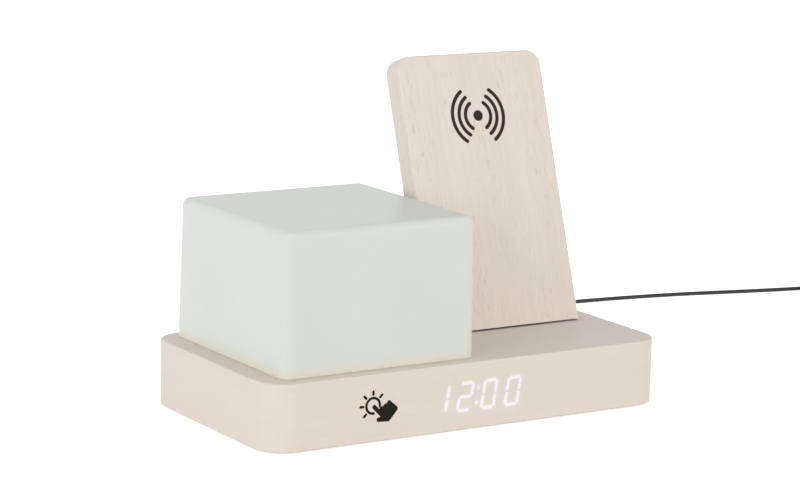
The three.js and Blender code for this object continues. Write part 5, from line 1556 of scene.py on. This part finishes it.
def make_far_contacts():
    """Four gold-plated strips that lie on the tongue."""
    low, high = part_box("far_plug_shell")
    centre, level = middle_and_half(low, high)[0][0], low.z + TONGUE_LEVELS[1]
    outlines = []
    for index in range(4):
        x = centre + (index - 1.5) * CONTACT_PITCH
        start, end = low.y + CONTACT_SET_BACK, high.y - CONTACT_SET_BACK
        outlines.append(rectangle((x - CONTACT_HALF, start), (x + CONTACT_HALF, end)))

    def on_tongue(a, b, lift):
        """Points of the tongue's upper face, lifted off it."""
        return np.stack([a, b, level + lift], axis=1)

    return add_marks("far_plug_contacts", outlines, on_tongue, -CONTACT_PROUD, CONTACT_PROUD)


def make_tie():
    """A flat strap carried round a rounded rectangle and back to its start."""
    low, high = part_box("cord_tie")
    centre, half = middle_and_half(low, high, "xz")
    thickness = TIE_HALF_THICKNESS
    middle = rounded_ring(half[0] - thickness, half[1] - thickness, TIE_RADIUS, 8)
    along = np.roll(middle, -1, axis=0) - np.roll(middle, 1, axis=0)
    outward = np.stack([along[:, 1], -along[:, 0]], axis=1)
    outward /= np.linalg.norm(outward, axis=1)[:, None]
    section = [(-1, -0.7), (-0.9, -1), (0.9, -1), (1, -0.7), (1, 0.7), (0.9, 1), (-0.9, 1), (-1, 0.7)]
    width = (high.y - low.y) / 2
    rings = np.zeros((len(middle), len(section), 3))
    for index, (across, over) in enumerate(section):
        line = middle + outward * over * thickness + centre
        rings[:, index] = np.insert(line, 1, (low.y + high.y) / 2 + across * width, axis=1)
    return add_skin("coil_tie", rings, closed=False)


grip_plastic = moulded("grip_plastic", paint(28, 28, 29), 0.5, 1400, 0.00007, 0.15)
gold = moulded("gold_plate", paint(212, 175, 96), 0.3, 900, 0.00001, 0.0, 1.0)
tongue_plastic = moulded("tongue_plastic", paint(232, 232, 228), 0.45, 1500, 0.00003, 0.05)
cord_pieces = [
    (make_grip("inlet_grip", "inlet_plug_grip", 0.015), grip_plastic, "cord_jacket", "inlet_plug_grip"),
    (make_grip("far_grip", "far_plug_grip", 0.022), grip_plastic, "cord_jacket", "far_plug_grip"),
    (make_far_shell(), steel, "steel", "far_plug_shell"),
    (make_far_tongue(), tongue_plastic, "pale_plastic", None),
    (make_far_contacts(), gold, "copper", None),
    (make_tie(), black_rubber, "black_rubber", "cord_tie"),
]
for piece, material, slot_name, node in cord_pieces:
    dress(piece, material)
    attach(piece, "clock")
    if node:
        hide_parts(node)


# Works inside
# What the casings hide keeps its imported shape: boards, the charging coil and its ferrite, the bent steel bracket,
# the display's block, the coin cell, the switches and the small screws. The bracket has a dark brown coating, which
# also paints the shade in the gap under the stand, where it shows.
BOARD_ROUGHNESS = 0.32
BOARD_TRACKS = (210, 60, 210)
TRACK_RANGE = (0.012, 0.03)
BOARD_COLOURS = (paint(36, 84, 52), paint(62, 118, 76))
TRACK_RELIEF = 0.00003


def finish_nodes(material, *nodes):
    """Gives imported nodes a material."""
    for node in nodes:
        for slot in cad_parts[node].material_slots:
            slot.material = material


def board_material():
    """Green solder mask: glossy, with fine copper tracks that show through as lighter lines."""
    material, shader = new_material("circuit_board", BOARD_ROUGHNESS)
    tree = material.node_tree
    place = object_place(tree)
    across = maths(tree, "ABSOLUTE", maths(tree, "SUBTRACT", noise(tree, place, BOARD_TRACKS, 1), 0.5))
    tracks = remap(tree, across, *TRACK_RANGE, 1.0, 0.0)
    colour = blend_colour(tree, tracks, *BOARD_COLOURS)
    tree.links.new(colour, shader.inputs["Base Color"])
    add_bump(tree, shader, tracks, TRACK_RELIEF, 0.7)
    return material


pale_plastic = moulded("pale_plastic", paint(230, 227, 220), 0.5, 1500, 0.00004, 0.05)
part_plastic = moulded("component_plastic", paint(33, 33, 35), 0.45, 2000, 0.00003, 0.05)
copper = moulded("enamelled_copper", paint(186, 112, 66), 0.3, 1500, 0.00002, 0.0, 1.0)
# Dark brown coating on the bracket: where it shows in the gap under the stand, it paints that gap's shade.
gap_shade_coated_steel = moulded("gap_shade_coated_steel", paint(52, 39, 29), 0.6, 1500, 0.00002, 0.05)
ferrite = moulded("ferrite", paint(66, 65, 70), 0.75, 2500, 0.00005, 0.2)
finish_nodes(board_material(), "main_board", "charger_board", "display_board")
finish_nodes(pale_plastic, "lamp_tray", "lamp_board", "display_reflector")
finish_nodes(part_plastic, "cell_holder", "buzzer", "set_switch", "down_switch", "up_switch")
finish_nodes(copper, "charging_coil", "touch_pad")
finish_nodes(ferrite, "ferrite_sheet")
finish_nodes(black_rubber, "set_plunger", "down_plunger", "up_plunger")
finish_nodes(cord_jacket, "stand_lead")
finish_nodes(gap_shade_coated_steel, "stand_bracket")
finish_nodes(steel, "coin_cell", "power_socket", "inlet_plug_shell")
finish_nodes(steel, *(f"tray_screw_{side}" for side in FOUR_CORNERS))
finish_nodes(steel, "board_screw_front_left", "board_screw_back_right")
for side in ("left", "right"):
    finish_nodes(steel, f"display_screw_{side}", f"bracket_screw_leg_{side}", f"bracket_screw_foot_{side}")
